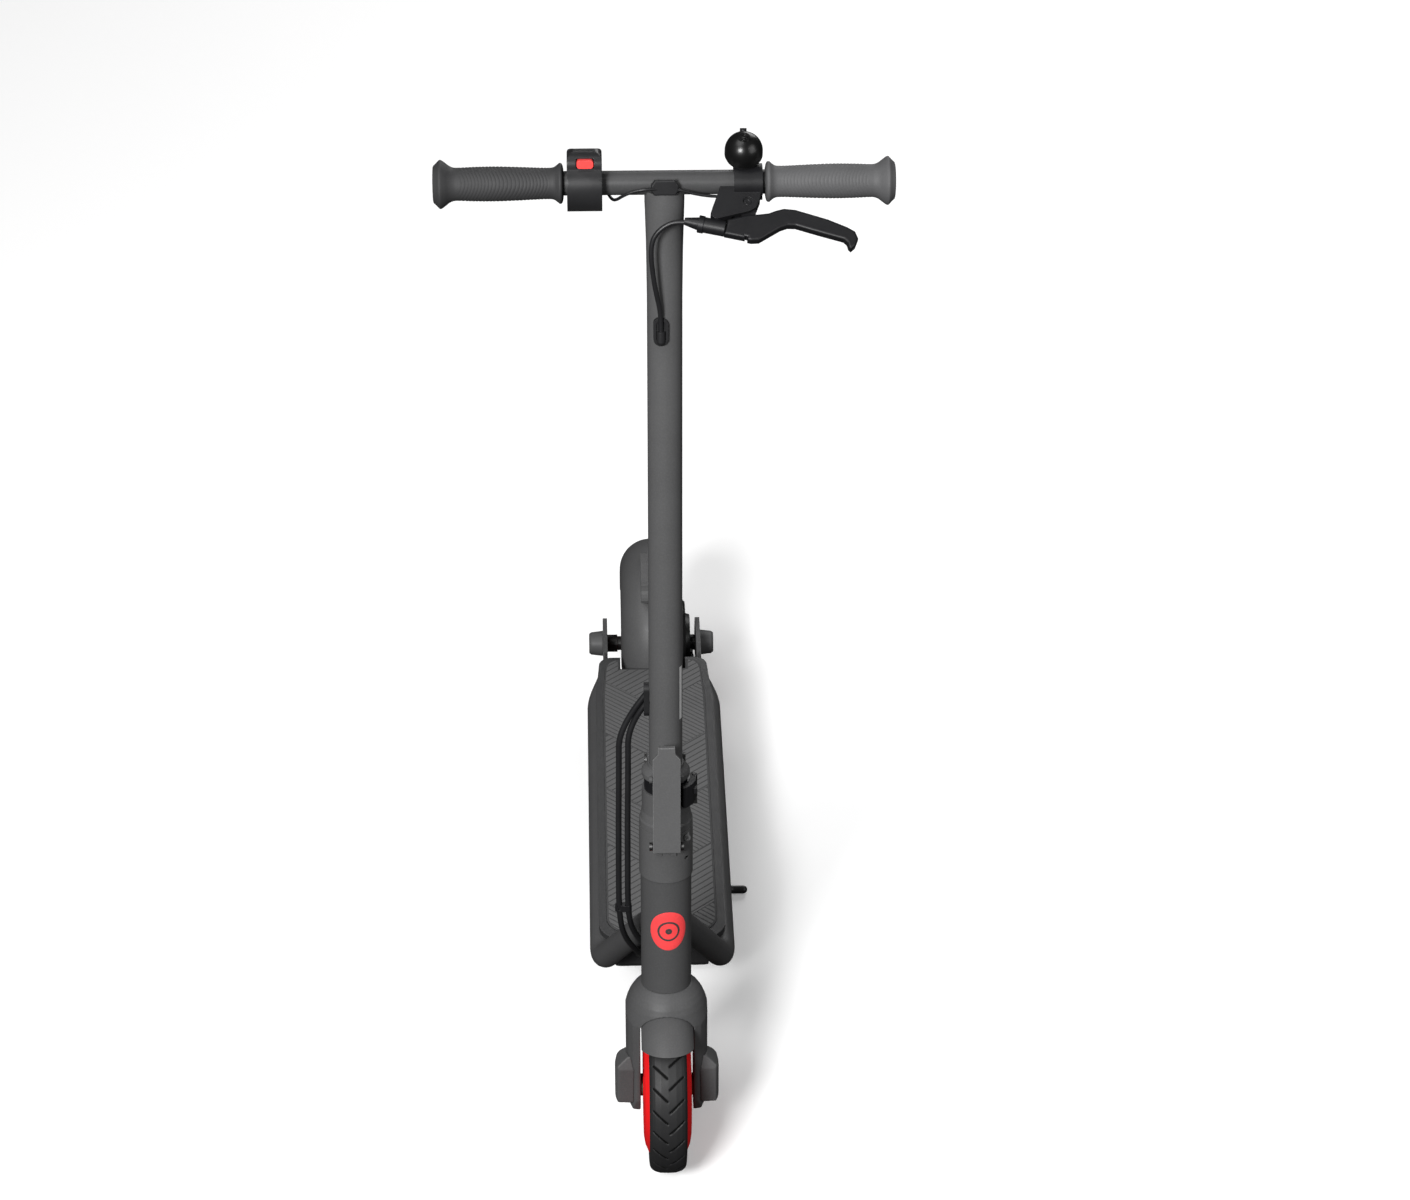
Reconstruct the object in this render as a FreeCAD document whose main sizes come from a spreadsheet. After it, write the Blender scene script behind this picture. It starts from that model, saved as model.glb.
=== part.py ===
import FreeCAD, Part
import math
import os
import Sketcher
from FreeCAD import Placement, Rotation, Vector

# An electric kick scooter with 7 inch wheels, a folding stem and a drum brake, in millimetres.
# +Z is up and the ground is z = 0. -Y is the front. +X is the rider's left hand side.
# The column frame used for fork, stem and handlebar has x across, b towards the back and t up the
# steering axis. Its origin is the point of the steering axis nearest to the front axle.

os.makedirs("parts", exist_ok=True)
doc = FreeCAD.newDocument("scooter")
sheet = doc.addObject("Spreadsheet::Sheet", "Dim")
nodes = []


class Size:
    """A number that remembers the spreadsheet expression it came from."""

    def __init__(self, value, text):
        self.value = value
        self.text = text

    def _join(self, other, sign, value):
        return Size(value, f"({self.text} {sign} {size(other).text})")

    def __add__(self, other):
        return self._join(other, "+", self.value + size(other).value)

    def __radd__(self, other):
        return size(other) + self

    def __sub__(self, other):
        return self._join(other, "-", self.value - size(other).value)

    def __rsub__(self, other):
        return size(other) - self

    def __mul__(self, other):
        return self._join(other, "*", self.value * size(other).value)

    def __rmul__(self, other):
        return size(other) * self

    def __neg__(self):
        return Size(-self.value, f"(0 - {self.text})")


def size(number):
    return number if isinstance(number, Size) else Size(float(number), f"{float(number):.4f}")


def num(number):
    return size(number).value


DIMENSIONS = {
    "tyre_r": 91.0,
    "tyre_half": 19.3,
    "bead_r": 64.0,
    "wheelbase": 752.0,
    "front_axle_y": -386.0,
    "rake_deg": 10.0,
    "axle_offset": 15.0,
    "rim_half": 24.4,
    "axle_r": 6.0,
    "running_gap": 0.05,
    "head_r": 25.6,
    "head_low": 118.6,
    "head_top": 250.2,
    "steerer_r": 15.0,
    "steerer_bore_r": 12.0,
    "base_r": 27.0,
    "base_low": 250.8,
    "rim_top": 321.0,
    "neck_r": 24.0,
    "neck_top": 347.0,
    "bracket_low": 361.5,
    "stem_r": 16.5,
    "stem_wall": 2.0,
    "hinge_b": 27.0,
    "hinge_t": 363.0,
    "latch_b": -31.0,
    "latch_t": 296.0,
    "bar_t": 980.0,
    "bar_r": 11.1,
    "bar_half": 206.0,
    "grip_in": 91.7,
    "grip_out": 210.0,
    "fork_half": 42.0,
    "fork_inner": 27.3,
    "cover_half": 53.6,
    "fender_half": 26.7,
    "fender_r": 101.4,
    "fender_wall": 2.6,
    "tube_r": 13.5,
    "tube_wall": 2.2,
    "tube_x": 64.5,
    "tube_z": 110.0,
    "corner_y": 172.0,
    "tube_end_y": 602.0,
    "tray_half": 50.7,
    "tray_low": 66.0,
    "tray_top": 123.6,
    "tray_front": 198.0,
    "tray_rear": 650.0,
    "cover_z": 123.8,
    "mat_z": 128.6,
    "mat_top": 132.0,
    "deck_half": 68.0,
    "mat_half": 59.5,
    "dropout_x": 53.2,
    "dropout_thick": 5.4,
    "rear_fender_half": 37.0,
    "rear_fender_r": 111.0,
    "stand_y": 365.0,
    "stand_z": 80.0,
}
for row, (alias, value) in enumerate(DIMENSIONS.items(), start=1):
    sheet.set(f"A{row}", alias)
    sheet.set(f"B{row}", str(value))
    sheet.setAlias(f"B{row}", alias)
doc.recompute()
D = {alias: Size(value, f"Dim.{alias}") for alias, value in DIMENSIONS.items()}

FRONT_Y = DIMENSIONS["front_axle_y"]
AXLE_Z = DIMENSIONS["tyre_r"]
RAKE = math.radians(DIMENSIONS["rake_deg"])
OFFSET = DIMENSIONS["axle_offset"]


def at(x, y, z):
    """A point given with y measured back from the front axle."""
    return Vector(num(x), FRONT_Y + num(y), num(z))


COLUMN = Placement(
    at(0, OFFSET * math.cos(RAKE), AXLE_Z - OFFSET * math.sin(RAKE)),
    Rotation(Vector(1, 0, 0), -DIMENSIONS["rake_deg"]),
)
WORLD = Placement(Vector(0, FRONT_Y, 0), Rotation())
REAR_AXLE = Placement(at(0, DIMENSIONS["wheelbase"], AXLE_Z), Rotation())
REAR_FENDER = Placement(at(0, DIMENSIONS["wheelbase"] + 10, AXLE_Z + 12), Rotation())


# ---------------------------------------------------------------- building blocks


def keep(obj, label, placement=WORLD):
    """Makes a solid one of the scooter's named pieces."""
    obj.Label = label
    for axis in ("x", "y", "z"):
        obj.setExpression(f".Placement.Base.{axis}", None)
    obj.Placement = placement
    nodes.append(obj)
    return obj


def bind(obj, **sizes):
    for prop, value in sizes.items():
        setattr(obj, prop, num(value))
        obj.setExpression(prop, size(value).text)


def place(obj, x=0, y=0, z=0, rotation=None):
    obj.Placement = Placement(Vector(num(x), num(y), num(z)), rotation or Rotation())
    for axis, value in (("x", x), ("y", y), ("z", z)):
        obj.setExpression(f".Placement.Base.{axis}", size(value).text)
    return obj


ALONG_X = Rotation(Vector(0, 1, 0), 90)
ALONG_Y = Rotation(Vector(1, 0, 0), -90)


def cylinder(radius, height, x=0, y=0, z=0, rotation=None):
    obj = doc.addObject("Part::Cylinder", "rod")
    bind(obj, Radius=radius, Height=height)
    return place(obj, x, y, z, rotation)


def cross_pin(radius, x0, x1, y=0, z=0):
    """A cylinder along x from x0 to x1."""
    return cylinder(radius, size(x1) - x0, x0, y, z, ALONG_X)


def box(x0, x1, y0, y1, z0, z1):
    obj = doc.addObject("Part::Box", "block")
    bind(obj, Length=size(x1) - x0, Width=size(y1) - y0, Height=size(z1) - z0)
    return place(obj, x0, y0, z0)


def sphere(radius, x=0, y=0, z=0):
    obj = doc.addObject("Part::Sphere", "ball")
    bind(obj, Radius=radius)
    return place(obj, x, y, z)


def boolean(kind, base, tool):
    obj = doc.addObject(f"Part::{kind}", kind.lower())
    obj.Base = base
    obj.Tool = tool
    doc.recompute()
    return obj


def cut(base, *tools):
    for tool in tools:
        base = boolean("Cut", base, tool)
    return base


def common(base, tool):
    return boolean("Common", base, tool)


def fuse(*shapes):
    obj = doc.addObject("Part::MultiFuse", "fuse")
    obj.Shapes = list(shapes)
    obj.Refine = True
    doc.recompute()
    return obj


def rounded(base, radius, pick):
    """Fillets the edges that pick accepts."""
    doc.recompute()
    obj = doc.addObject("Part::Fillet", "rounded")
    obj.Base = base
    edges = enumerate(base.Shape.Edges, start=1)
    obj.Edges = [(index, radius, radius) for index, edge in edges if pick(edge)]
    doc.recompute()
    return obj


def runs_along(direction):
    """Accepts straight edges parallel to a direction."""

    def pick(edge):
        if edge.Curve.TypeId != "Part::GeomLine":
            return False
        return abs(abs(edge.Curve.Direction.dot(direction)) - 1) < 1e-6

    return pick


def minor_arc(start, end, radius):
    """The short arc between two points; a positive radius bulges to the right of start to end."""
    first, last = (start, end) if radius > 0 else (end, start)
    chord = last - first
    height = math.sqrt(max(radius * radius - chord.Length * chord.Length / 4, 0))
    centre = (first + last) / 2 + Vector(-chord.y, chord.x, 0).normalize() * height
    angles = [math.atan2(spot.y - centre.y, spot.x - centre.x) for spot in (first, last)]
    if angles[1] < angles[0]:
        angles[1] += 2 * math.pi
    circle = Part.Circle(centre, Vector(0, 0, 1), abs(radius))
    return Part.ArcOfCircle(circle, angles[0], angles[1])


def outline(body, role, points, offset=0):
    """A closed sketch on an origin plane. A third number in a point makes the edge that ends there an arc."""
    plane = next(f for f in body.Origin.OriginFeatures if f.Role == role)
    sketch = body.newObject("Sketcher::SketchObject", "outline")
    sketch.AttachmentSupport = [(plane, "")]
    sketch.MapMode = "FlatFace"
    sketch.AttachmentOffset = Placement(Vector(0, 0, num(offset)), Rotation())
    sketch.setExpression(".AttachmentOffset.Base.z", size(offset).text)
    spots = [Vector(num(p[0]), num(p[1]), 0) for p in points]
    count = len(points)
    ends = []
    for i in range(count):
        after = (i + 1) % count
        if len(points[after]) == 3:
            bend = num(points[after][2])
            sketch.addGeometry(minor_arc(spots[i], spots[after], bend))
            ends.append((1, 2) if bend > 0 else (2, 1))
        else:
            sketch.addGeometry(Part.LineSegment(spots[i], spots[after]))
            ends.append((1, 2))
    rules = []
    driven = []
    for i in range(count):
        after = (i + 1) % count
        rules.append(Sketcher.Constraint("Coincident", i, ends[i][1], after, ends[after][0]))
    for i in range(count):
        after = (i + 1) % count
        if len(points[after]) == 3:
            radius = size(points[after][2])
            radius = radius if radius.value > 0 else -radius
            driven.append((len(rules), radius.text))
            rules.append(Sketcher.Constraint("Radius", i, radius.value))
    for i, point in enumerate(points):
        for kind, value in (("DistanceX", point[0]), ("DistanceY", point[1])):
            driven.append((len(rules), size(value).text))
            rules.append(Sketcher.Constraint(kind, -1, 1, i, ends[i][0], num(value)))
    sketch.addConstraint(rules)
    for index, text in driven:
        sketch.setExpression(f"Constraints[{index}]", text)
    return sketch


def prism(role, points, start, end):
    """A pad of an outline between two distances along the axis square to its plane."""
    body = doc.addObject("PartDesign::Body", "prism")
    offset = -size(end) if role == "XZ_Plane" else start
    pad = body.newObject("PartDesign::Pad", "pad")
    pad.Profile = outline(body, role, points, offset)
    bind(pad, Length=size(end) - start)
    doc.recompute()
    return body


def turned(points, axis="V_Axis", angle=360):
    """A solid of revolution; the outline is (radius, z) about V_Axis or (x, radius) about H_Axis."""
    body = doc.addObject("PartDesign::Body", "turned")
    sketch = outline(body, "XZ_Plane", points)
    feature = body.newObject("PartDesign::Revolution", "revolution")
    feature.Profile = sketch
    feature.ReferenceAxis = (sketch, [axis])
    bind(feature, Angle=angle)
    doc.recompute()
    return body


def ring(inner, outer, low, high, rotation=None, x=0, y=0, z=0):
    """A plain ring between two heights."""
    return place(turned([(inner, low), (outer, low), (outer, high), (inner, high)]), x, y, z, rotation)


def mirrored(points):
    """A right hand profile, bottom to top, closed with its mirror image across x = 0."""
    left = []
    for i in reversed(range(len(points))):
        if num(points[i][0]) == 0:
            continue
        bend = points[i + 1][2:] if i + 1 < len(points) else ()
        left.append((-size(points[i][0]), points[i][1]) + tuple(bend))
    return points + left


def shape_piece(label, shape, placement=WORLD):
    """A piece whose curved or lofted shape no sketch feature makes."""
    obj = doc.addObject("Part::Feature", "shape")
    obj.Shape = shape
    return keep(obj, label, placement)


def shape_tool(shape):
    obj = doc.addObject("Part::Feature", "tool")
    obj.Shape = shape
    return obj


def route(points, radii=None):
    """Straight runs joined by tangent arcs. Returns the wire and the arc radii."""
    edges = []
    used = []
    last = points[0]
    for i in range(1, len(points) - 1):
        before = points[i - 1] - points[i]
        after = points[i + 1] - points[i]
        half_turn = (math.pi - before.getAngle(after)) / 2
        radius = 0.45 * min(before.Length, after.Length) / math.tan(half_turn)
        if radii:
            radius = radii[i - 1]
        used.append(radius)
        trim = radius * math.tan(half_turn)
        start = points[i] + before.normalize() * trim
        end = points[i] + after.normalize() * trim
        inward = (before + after).normalize()
        middle = points[i] + inward * (radius / math.cos(half_turn) - radius)
        edges.append(Part.LineSegment(last, start).toShape())
        edges.append(Part.Arc(start, middle, end).toShape())
        last = end
    edges.append(Part.LineSegment(last, points[-1]).toShape())
    return Part.Wire(edges), used


def sweep(wire, start, heading, radius):
    section = Part.Wire([Part.makeCircle(radius, start, heading)])
    return wire.makePipeShell([section], True, False)


def cord_shape(label, points, radius):
    """A cord laid along a route; prints its arc radii and checks its volume."""
    wire, used = route(points)
    solid = sweep(wire, points[0], points[1] - points[0], radius)
    bulk = math.pi * radius * radius * wire.Length
    print(label, "length", round(wire.Length, 1), "radii", [round(r, 1) for r in used],
          "volume ratio", round(solid.Volume / bulk, 4))
    return solid


# ---------------------------------------------------------------- frame


def head_tube():
    seat = 10
    bore = 19
    bearing = 22
    low, top, outer = D["head_low"], D["head_top"], D["head_r"]
    body = turned([
        (bearing, low), (outer, low), (outer, top), (bearing, top),
        (bearing, top - seat), (bore, top - seat), (bore, low + seat), (bearing, low + seat),
    ])
    keep(body, "head_tube", COLUMN)


def head_bearings():
    inner = D["steerer_r"] + D["running_gap"]
    lower = ring(inner, 22, D["head_low"] + 0.8, D["head_low"] + 10)
    upper = ring(inner, 22, D["head_top"] - 10, D["head_top"] - 0.8)
    keep(fuse(lower, upper), "head_bearings", COLUMN)


DIAGONAL_END = Vector(0, 62, 278)


def main_tube(label, side):
    """One side rail of the deck, bent in and up at the front to meet the head tube."""
    x = side * DIMENSIONS["tube_x"]
    z = DIMENSIONS["tube_z"]
    path = [
        Vector(x, DIMENSIONS["tube_end_y"], z),
        Vector(x, DIMENSIONS["corner_y"], z),
        DIAGONAL_END,
    ]
    wire, _ = route(path, [32])
    outer = sweep(wire, path[0], Vector(0, -1, 0), DIMENSIONS["tube_r"])
    inner = sweep(wire, path[0], Vector(0, -1, 0), DIMENSIONS["tube_r"] - DIMENSIONS["tube_wall"])
    tube = outer.cut(inner)
    far = 200
    opposite = Part.makeBox(far, 4 * far, 2 * far, Vector(-far if side > 0 else 0, -far, 0))
    to_world = COLUMN.toMatrix()
    head = Part.makeCylinder(DIMENSIONS["head_r"], 400, Vector(0, 0, -50), Vector(0, 0, 1))
    head.transformShape(to_world)
    head.translate(Vector(0, -FRONT_Y, 0))
    tube = tube.cut(opposite).cut(head)
    tube = max(tube.Solids, key=lambda solid: solid.Volume)
    shape_piece(label, tube)


def ellipse_wire(center, half_x, half_z):
    """An upright ellipse in the plane square to y."""
    if half_x > half_z:
        curve = Part.Ellipse(center + Vector(half_x, 0, 0), center + Vector(0, 0, half_z), center)
    else:
        curve = Part.Ellipse(center + Vector(0, 0, half_z), center + Vector(half_x, 0, 0), center)
    return Part.Wire([curve.toShape()])


def dropout(label, side):
    """The flattened rear end of a side rail with the plate that holds the axle."""
    x_rail = DIMENSIONS["tube_x"]
    x_plate = DIMENSIONS["dropout_x"] + DIMENSIONS["dropout_thick"] / 2
    z = DIMENSIONS["tube_z"]
    r = DIMENSIONS["tube_r"]
    start = DIMENSIONS["tube_end_y"]
    sections = [
        (start, x_rail, z, r - 0.05, r),
        (start + 28, x_rail - 1.5, z - 1, r - 3, r + 0.5),
        (start + 62, x_plate + 2.5, z - 6, 5.4, r + 5),
        (start + 92, x_plate, z - 10, DIMENSIONS["dropout_thick"] / 2, r + 8),
    ]
    wires = [ellipse_wire(Vector(side * sx, sy, sz), hx, hz) for sy, sx, sz, hx, hz in sections]
    flare = Part.makeLoft(wires, True, False)
    axle_y = DIMENSIONS["wheelbase"]
    y0 = sections[-1][0] - 8
    top = 123
    profile = [
        (y0, 84), (axle_y - 8, 74), (axle_y + 10, 72), (axle_y + 22, 80),
        (axle_y + 24, 92), (axle_y + 16, top - 6), (axle_y + 8, top), (y0 + 22, top), (y0, 118),
    ]
    x0 = side * x_plate - DIMENSIONS["dropout_thick"] / 2
    corners = [Vector(x0, py, pz) for py, pz in profile]
    plate = Part.Face(Part.makePolygon(corners + corners[:1])).extrude(Vector(DIMENSIONS["dropout_thick"], 0, 0))
    bore = Part.makeCylinder(
        DIMENSIONS["axle_r"] + 0.05, 40, Vector(side * x_plate - 20, axle_y, AXLE_Z), Vector(1, 0, 0))
    solid = flare.fuse(plate).cut(bore).removeSplitter()
    shape_piece(label, solid)


def deck_tray():
    wall = 3
    outer = box(-D["tray_half"], D["tray_half"], D["tray_front"], D["tray_rear"], D["tray_low"], D["tray_top"])
    outer = rounded(outer, 7, runs_along(Vector(0, 1, 0)))
    ceiling = D["tray_top"] - 4
    cavity = box(
        -D["tray_half"] + wall, D["tray_half"] - wall, D["tray_front"] + wall, D["tray_rear"] - wall,
        D["tray_low"] + wall, ceiling + 10)
    nose = prism("YZ_Plane", [
        (D["tray_front"] - 1, D["tray_low"] - 1), (D["tray_front"] + 9, D["tray_low"] - 1),
        (D["tray_front"] - 1, D["tray_low"] + 12),
    ], -60, 60)
    port = cylinder(10.05, 10, 0, D["tray_front"] - 2, 96, ALONG_Y)
    cable_way = box(-34, -14, D["tray_front"] - 2, D["tray_front"] + 6, 104.5, 112)
    brake_way = cylinder(2.6, 12, 38, D["tray_rear"] - 8, 92, ALONG_Y)
    keep(cut(outer, cavity, nose, port, cable_way, brake_way), "deck_tray")


def deck_outline(half_front, half_rear, front, rear, notch_half, notch_y):
    """A plan outline with rounded corners and a rear notch for the fender."""
    nose = 24
    tail = 15
    taper_y = rear - 70
    return [
        (nose - half_front, front, nose), (half_front - nose, front), (half_front, front + nose, nose),
        (half_front, taper_y), (half_rear, rear - tail), (half_rear - tail, rear, tail),
        (notch_half, rear), (notch_half, notch_y), (-notch_half, notch_y), (-notch_half, rear),
        (tail - half_rear, rear), (-half_rear, rear - tail, tail), (-half_front, taper_y),
        (-half_front, front + nose),
    ]


def deck_cover():
    slab_plan = deck_outline(D["deck_half"], size(64), 180, 672, 38.5, 650)
    slab = prism("XY_Plane", slab_plan, D["cover_z"], D["mat_z"] + 2)
    gap = 0.15
    recess_plan = deck_outline(D["mat_half"] + gap, size(56 + gap), 188.7 - gap, 666.7 + gap, 39.5 - gap, 648.5 + gap)
    recess = prism("XY_Plane", recess_plan, D["mat_z"], D["mat_z"] + 6)
    keep(cut(slab, recess), "deck_cover")


def deck_mat():
    plan = deck_outline(D["mat_half"], size(56), 188.7, 666.7, 39.5, 648.5)
    keep(prism("XY_Plane", plan, D["mat_z"], D["mat_top"]), "deck_mat")


def battery_and_controller():
    floor = D["tray_low"] + 3
    battery = box(-40, 40, 300, 600, floor, floor + 42)
    keep(rounded(battery, 5, runs_along(Vector(0, 1, 0))), "battery_pack")
    controller = box(-36, 36, 216, 288, floor, floor + 26)
    keep(rounded(controller, 2, runs_along(Vector(0, 0, 1))), "motor_controller")


def charge_port():
    """A round barrel socket set in the tray's front wall, with its rubber plug on a flat hinge."""
    front = D["tray_front"]
    barrel = fuse(
        cylinder(10, 12, 0, front - 0.5, 96, ALONG_Y),
        cylinder(13, 1.8, 0, front - 1.8, 96, ALONG_Y),
    )
    socket = cut(barrel, cylinder(6.2, 9, 0, front - 2, 96, ALONG_Y))
    keep(fuse(socket, cylinder(1.5, 9, 0, front - 1, 96, ALONG_Y)), "charge_port")
    plug = fuse(
        cylinder(12, 2.2, 0, front - 4.2, 96, ALONG_Y),
        cut(cylinder(5.9, 1.7, 0, front - 2.3, 96, ALONG_Y), cylinder(2, 1.2, 0, front - 1.8, 96, ALONG_Y)),
        box(-4, 4, front - 4.2, front - 2.2, 96, 110.4),
        cross_pin(1.1, -4, 4, front - 3.1, 110.4),
    )
    keep(plug, "port_cap")


def rear_fender():
    """A round-backed mudguard with straight sides and a moulded hook for the folded handlebar."""
    wall = 2.6
    drop = 18
    start_deg = 25
    sweep_deg = 153
    r, half = D["rear_fender_r"], D["rear_fender_half"]
    thin = half - wall
    low = r - half - drop
    shell = turned([
        (-half, low), (-half, r - half), (0, r, -half), (half, r - half, -half), (half, low),
        (thin, low), (thin, r - half), (0, r - wall, thin), (-thin, r - half, thin), (-thin, low),
    ], "H_Axis", sweep_deg)
    place(shell, 0, 0, 0, Rotation(Vector(1, 0, 0), start_deg - 90))
    hook_side = [
        (-4, 108), (3, 113.5), (-20, 116), (-50, 112), (-60, 113), (-65.8, 118.5), (-68.2, 117.8),
        (-68.9, 114.9), (-70.3, 110.9), (-72.9, 107.8), (-76.8, 105.4), (-80.5, 104.2), (-80, 100.5), (-70, 96),
        (-62, 91),
    ]
    hook = cut(prism("YZ_Plane", hook_side, -13, 13), cross_pin(r - wall, -30, 30))
    front = D["tray_rear"] - D["wheelbase"] - 10
    foot = cut(box(-22, 22, front + 0.02, -100, 5, 16), cross_pin(r - wall, -30, 30))
    drum_room = cross_pin(53, 29, 45, -10, -12)
    keep(cut(fuse(shell, hook, foot), drum_room), "rear_fender", REAR_FENDER)


def stand_bracket():
    block = box(D["tray_half"] + 0.05, 58, D["stand_y"] - 15, D["stand_y"] + 15, 70, 96)
    block = rounded(block, 5, runs_along(Vector(1, 0, 0)))
    rail = cylinder(D["tube_r"] + 0.05, 60, D["tube_x"], D["stand_y"] - 30, D["tube_z"], ALONG_Y)
    hole = cross_pin(5 + D["running_gap"], 52.5, 70, D["stand_y"], D["stand_z"])
    keep(cut(block, rail, hole), "stand_bracket")


def kickstand():
    """A bent rod: hub on the bracket, leg down and out, and a level foot."""
    y, z = DIMENSIONS["stand_y"], DIMENSIONS["stand_z"]
    r = 4.6
    foot_y = 396.0
    foot_z = 5.4
    points = [
        Vector(64.0, y + 5, z - 6), Vector(66.0, y + 13, z - 30), Vector(79.0, foot_y, foot_z),
        Vector(98.0, foot_y, foot_z),
    ]
    wire, _ = route(points, [30, 11])
    leg = sweep(wire, points[0], points[1] - points[0], r)
    hub = Part.makeCylinder(10.5, 9.5, Vector(58.4, y, z), Vector(1, 0, 0))
    pin = Part.makeCylinder(5, 6, Vector(52.7, y, z), Vector(1, 0, 0))
    tip = Part.makeSphere(r, points[-1])
    shape_piece("kickstand", leg.fuse([hub, pin, tip]).removeSplitter())


# ---------------------------------------------------------------- rear wheel


def rear_axle():
    """The fixed axle, threaded through both dropouts, with its inner nut and spacer."""
    rod = cross_pin(D["axle_r"], -66, 66)
    left_nut = cross_pin(10.5, -53.1, -41)
    left_sleeve = cross_pin(8.5, -41, -27.5)
    right_sleeve = cross_pin(9.5, 46.7, 53.1)
    outer_nuts = [cross_pin(9.5, side * 62.5 - 3.8, side * 62.5 + 3.8) for side in (-1, 1)]
    keep(fuse(rod, left_nut, left_sleeve, right_sleeve, *outer_nuts), "rear_axle", REAR_AXLE)


def axle_caps():
    """The two tapered caps over the axle ends."""
    caps = []
    for side in (-1, 1):
        turn = Rotation(Vector(0, 1, 0), 90 * side)
        cap = turned([(9.8, 0), (15.3, 0), (13.6, 14), (11.6, 16.6), (0, 16.6), (0, 9), (9.8, 9)])
        caps.append(place(cap, side * 58.7, 0, 0, turn))
    keep(fuse(*caps), "axle_caps", REAR_AXLE)


def brake_plate():
    """The fixed drum cover on the left of the rider, stepped like a shallow lid."""
    seat = D["axle_r"] + 0.02
    body = turned([
        (seat, 30.5), (49.0, 30.5), (52.0, 33.0), (52.0, 38.5), (49.5, 41.0), (36.0, 41.0), (34.0, 46.7),
        (seat, 46.7),
    ])
    plate = place(body, 0, 0, 0, ALONG_X)
    ear = prism("YZ_Plane", [(-10, -58), (6, -58), (10, -30), (-14, -30)], 34, 40)
    pivot = cross_pin(3 + D["running_gap"], 30, 60, -16, -38)
    keep(cut(fuse(plate, ear), pivot), "brake_plate", REAR_AXLE)


def brake_arm():
    """The short lever the rear cable pulls to open the shoes."""
    blade = prism("YZ_Plane", [(-22, -42), (-12, -43), (-12, -12), (-16, 2), (-22, 2), (-26, -12)], 47.2, 50.2)
    pin = cross_pin(3, 34, 50.2, -16, -38)
    keep(fuse(blade, pin), "brake_arm", REAR_AXLE)


def motor_stator():
    """The wound core fixed to the axle inside the hub."""
    core = ring(D["axle_r"], 50, -11, 11, ALONG_X)
    coils = ring(24, 46, -16, 16, ALONG_X)
    keep(fuse(core, coils), "motor_stator", REAR_AXLE)


def tyre(label, placement):
    """A tyre with a flat crown, rounded shoulders and a bead seated on the rim."""
    r, half, bead = D["tyre_r"], D["tyre_half"], D["bead_r"]
    profile = [
        (-16, bead + 0.05), (-16, bead + 6.3), (-18.4, bead + 7.6), (-half, bead + 13), (3 - half, r - 4.6, -9),
        (-8, r, -34), (8, r), (half - 3, r - 4.6, -34), (half, bead + 13, -9), (18.4, bead + 7.6),
        (16, bead + 6.3), (16, bead + 0.05),
    ]
    keep(turned(profile, "H_Axis"), label, placement)


def front_rim():
    """A solid moulded wheel with dished faces and five shallow bolt bosses on each side."""
    half, bead = D["rim_half"], D["bead_r"]
    right = [
        (half + 0.3, 13), (half + 0.3, 18), (half - 2.4, 21), (half - 2.4, 40), (half, 46), (half, 53),
        (half - 1.4, 61), (half - 5, bead + 5.6), (16.1, bead + 6), (16.1, bead), (0, bead),
    ]
    left = [(-size(x), radius) for x, radius in reversed(right[:-1])]
    disc = turned(right + left, "H_Axis")
    bosses = []
    for k in range(5):
        angle = math.radians(72 * k + 18)
        bosses.append(cross_pin(4.2, -half + 0.4, half - 0.4, 31 * math.cos(angle), 31 * math.sin(angle)))
    keep(fuse(disc, *bosses), "front_rim", FRONT_AXLE)


def front_bearings():
    inner = D["axle_r"] + D["running_gap"]
    rings = [ring(inner, 13, side * 19.5 - 4, side * 19.5 + 4, ALONG_X) for side in (-1, 1)]
    keep(fuse(*rings), "front_bearings", FRONT_AXLE)


def rear_hub():
    """The motor's outer shell: rim, two end covers and the magnet ring, turning on the fixed axle."""
    bead = D["bead_r"]
    clear = D["axle_r"] + D["running_gap"]
    body = turned([
        (-27, clear), (-27, 20), (-24.4, 24), (-24.4, 53), (-22.8, 61), (-19.4, bead + 5.6),
        (-16.1, bead + 6), (-16.1, bead), (16.1, bead), (16.1, bead + 6), (19.4, bead + 5.6), (22.8, 61),
        (24.4, 53), (24.4, 20), (30.2, 18), (30.2, clear), (17.5, clear), (17.5, 55), (-17.5, 55),
        (-17.5, clear),
    ], "H_Axis")
    keep(body, "rear_hub", REAR_AXLE)


# ---------------------------------------------------------------- fork and front wheel


FRONT_AXLE = Placement(at(0, 0, AXLE_Z), COLUMN.Rotation)


def fork_casting():
    """The outer shape of the crown and arms, before the wheel channel is cut."""
    half, top = D["fork_half"], D["head_low"] - 0.4
    front = prism("XZ_Plane", mirrored([(20, -27), (31, -27), (38, -19), (half, -8), (half, top)]), -60, 60)
    side = prism("YZ_Plane", [
        (-44, top), (-44, 100), (-41.5, 90), (-37.5, 72), (-34, 50), (-31.5, 20), (-31, -10), (-27, -22),
        (-20, -28), (-8, -28), (0, -22), (4, -10), (6, 20), (12, 55), (19, 78), (23, 95), (26, top),
    ], -60, 60)
    right_side = [(10, -41.5), (20, -39), (28, -34.5), (half - 7, -28), (half - 2.5, -20), (half, -11)]
    top_view = prism("XY_Plane", right_side + [
        (half, 12), (half - 4, 19), (half - 14, 26), (14 - half, 26), (4 - half, 19), (-half, 12),
    ] + [(-x, back) for x, back in reversed(right_side)], -60, 140)
    bell = turned([
        (0, top), (26.2, top), (30.5, 114.5), (34.6, 110), (38, 104.5), (40.6, 98), (43, 89), (46, 76),
        (60, 45), (60, -40), (0, -40),
    ])
    return common(common(common(front, side), top_view), bell)


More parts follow.
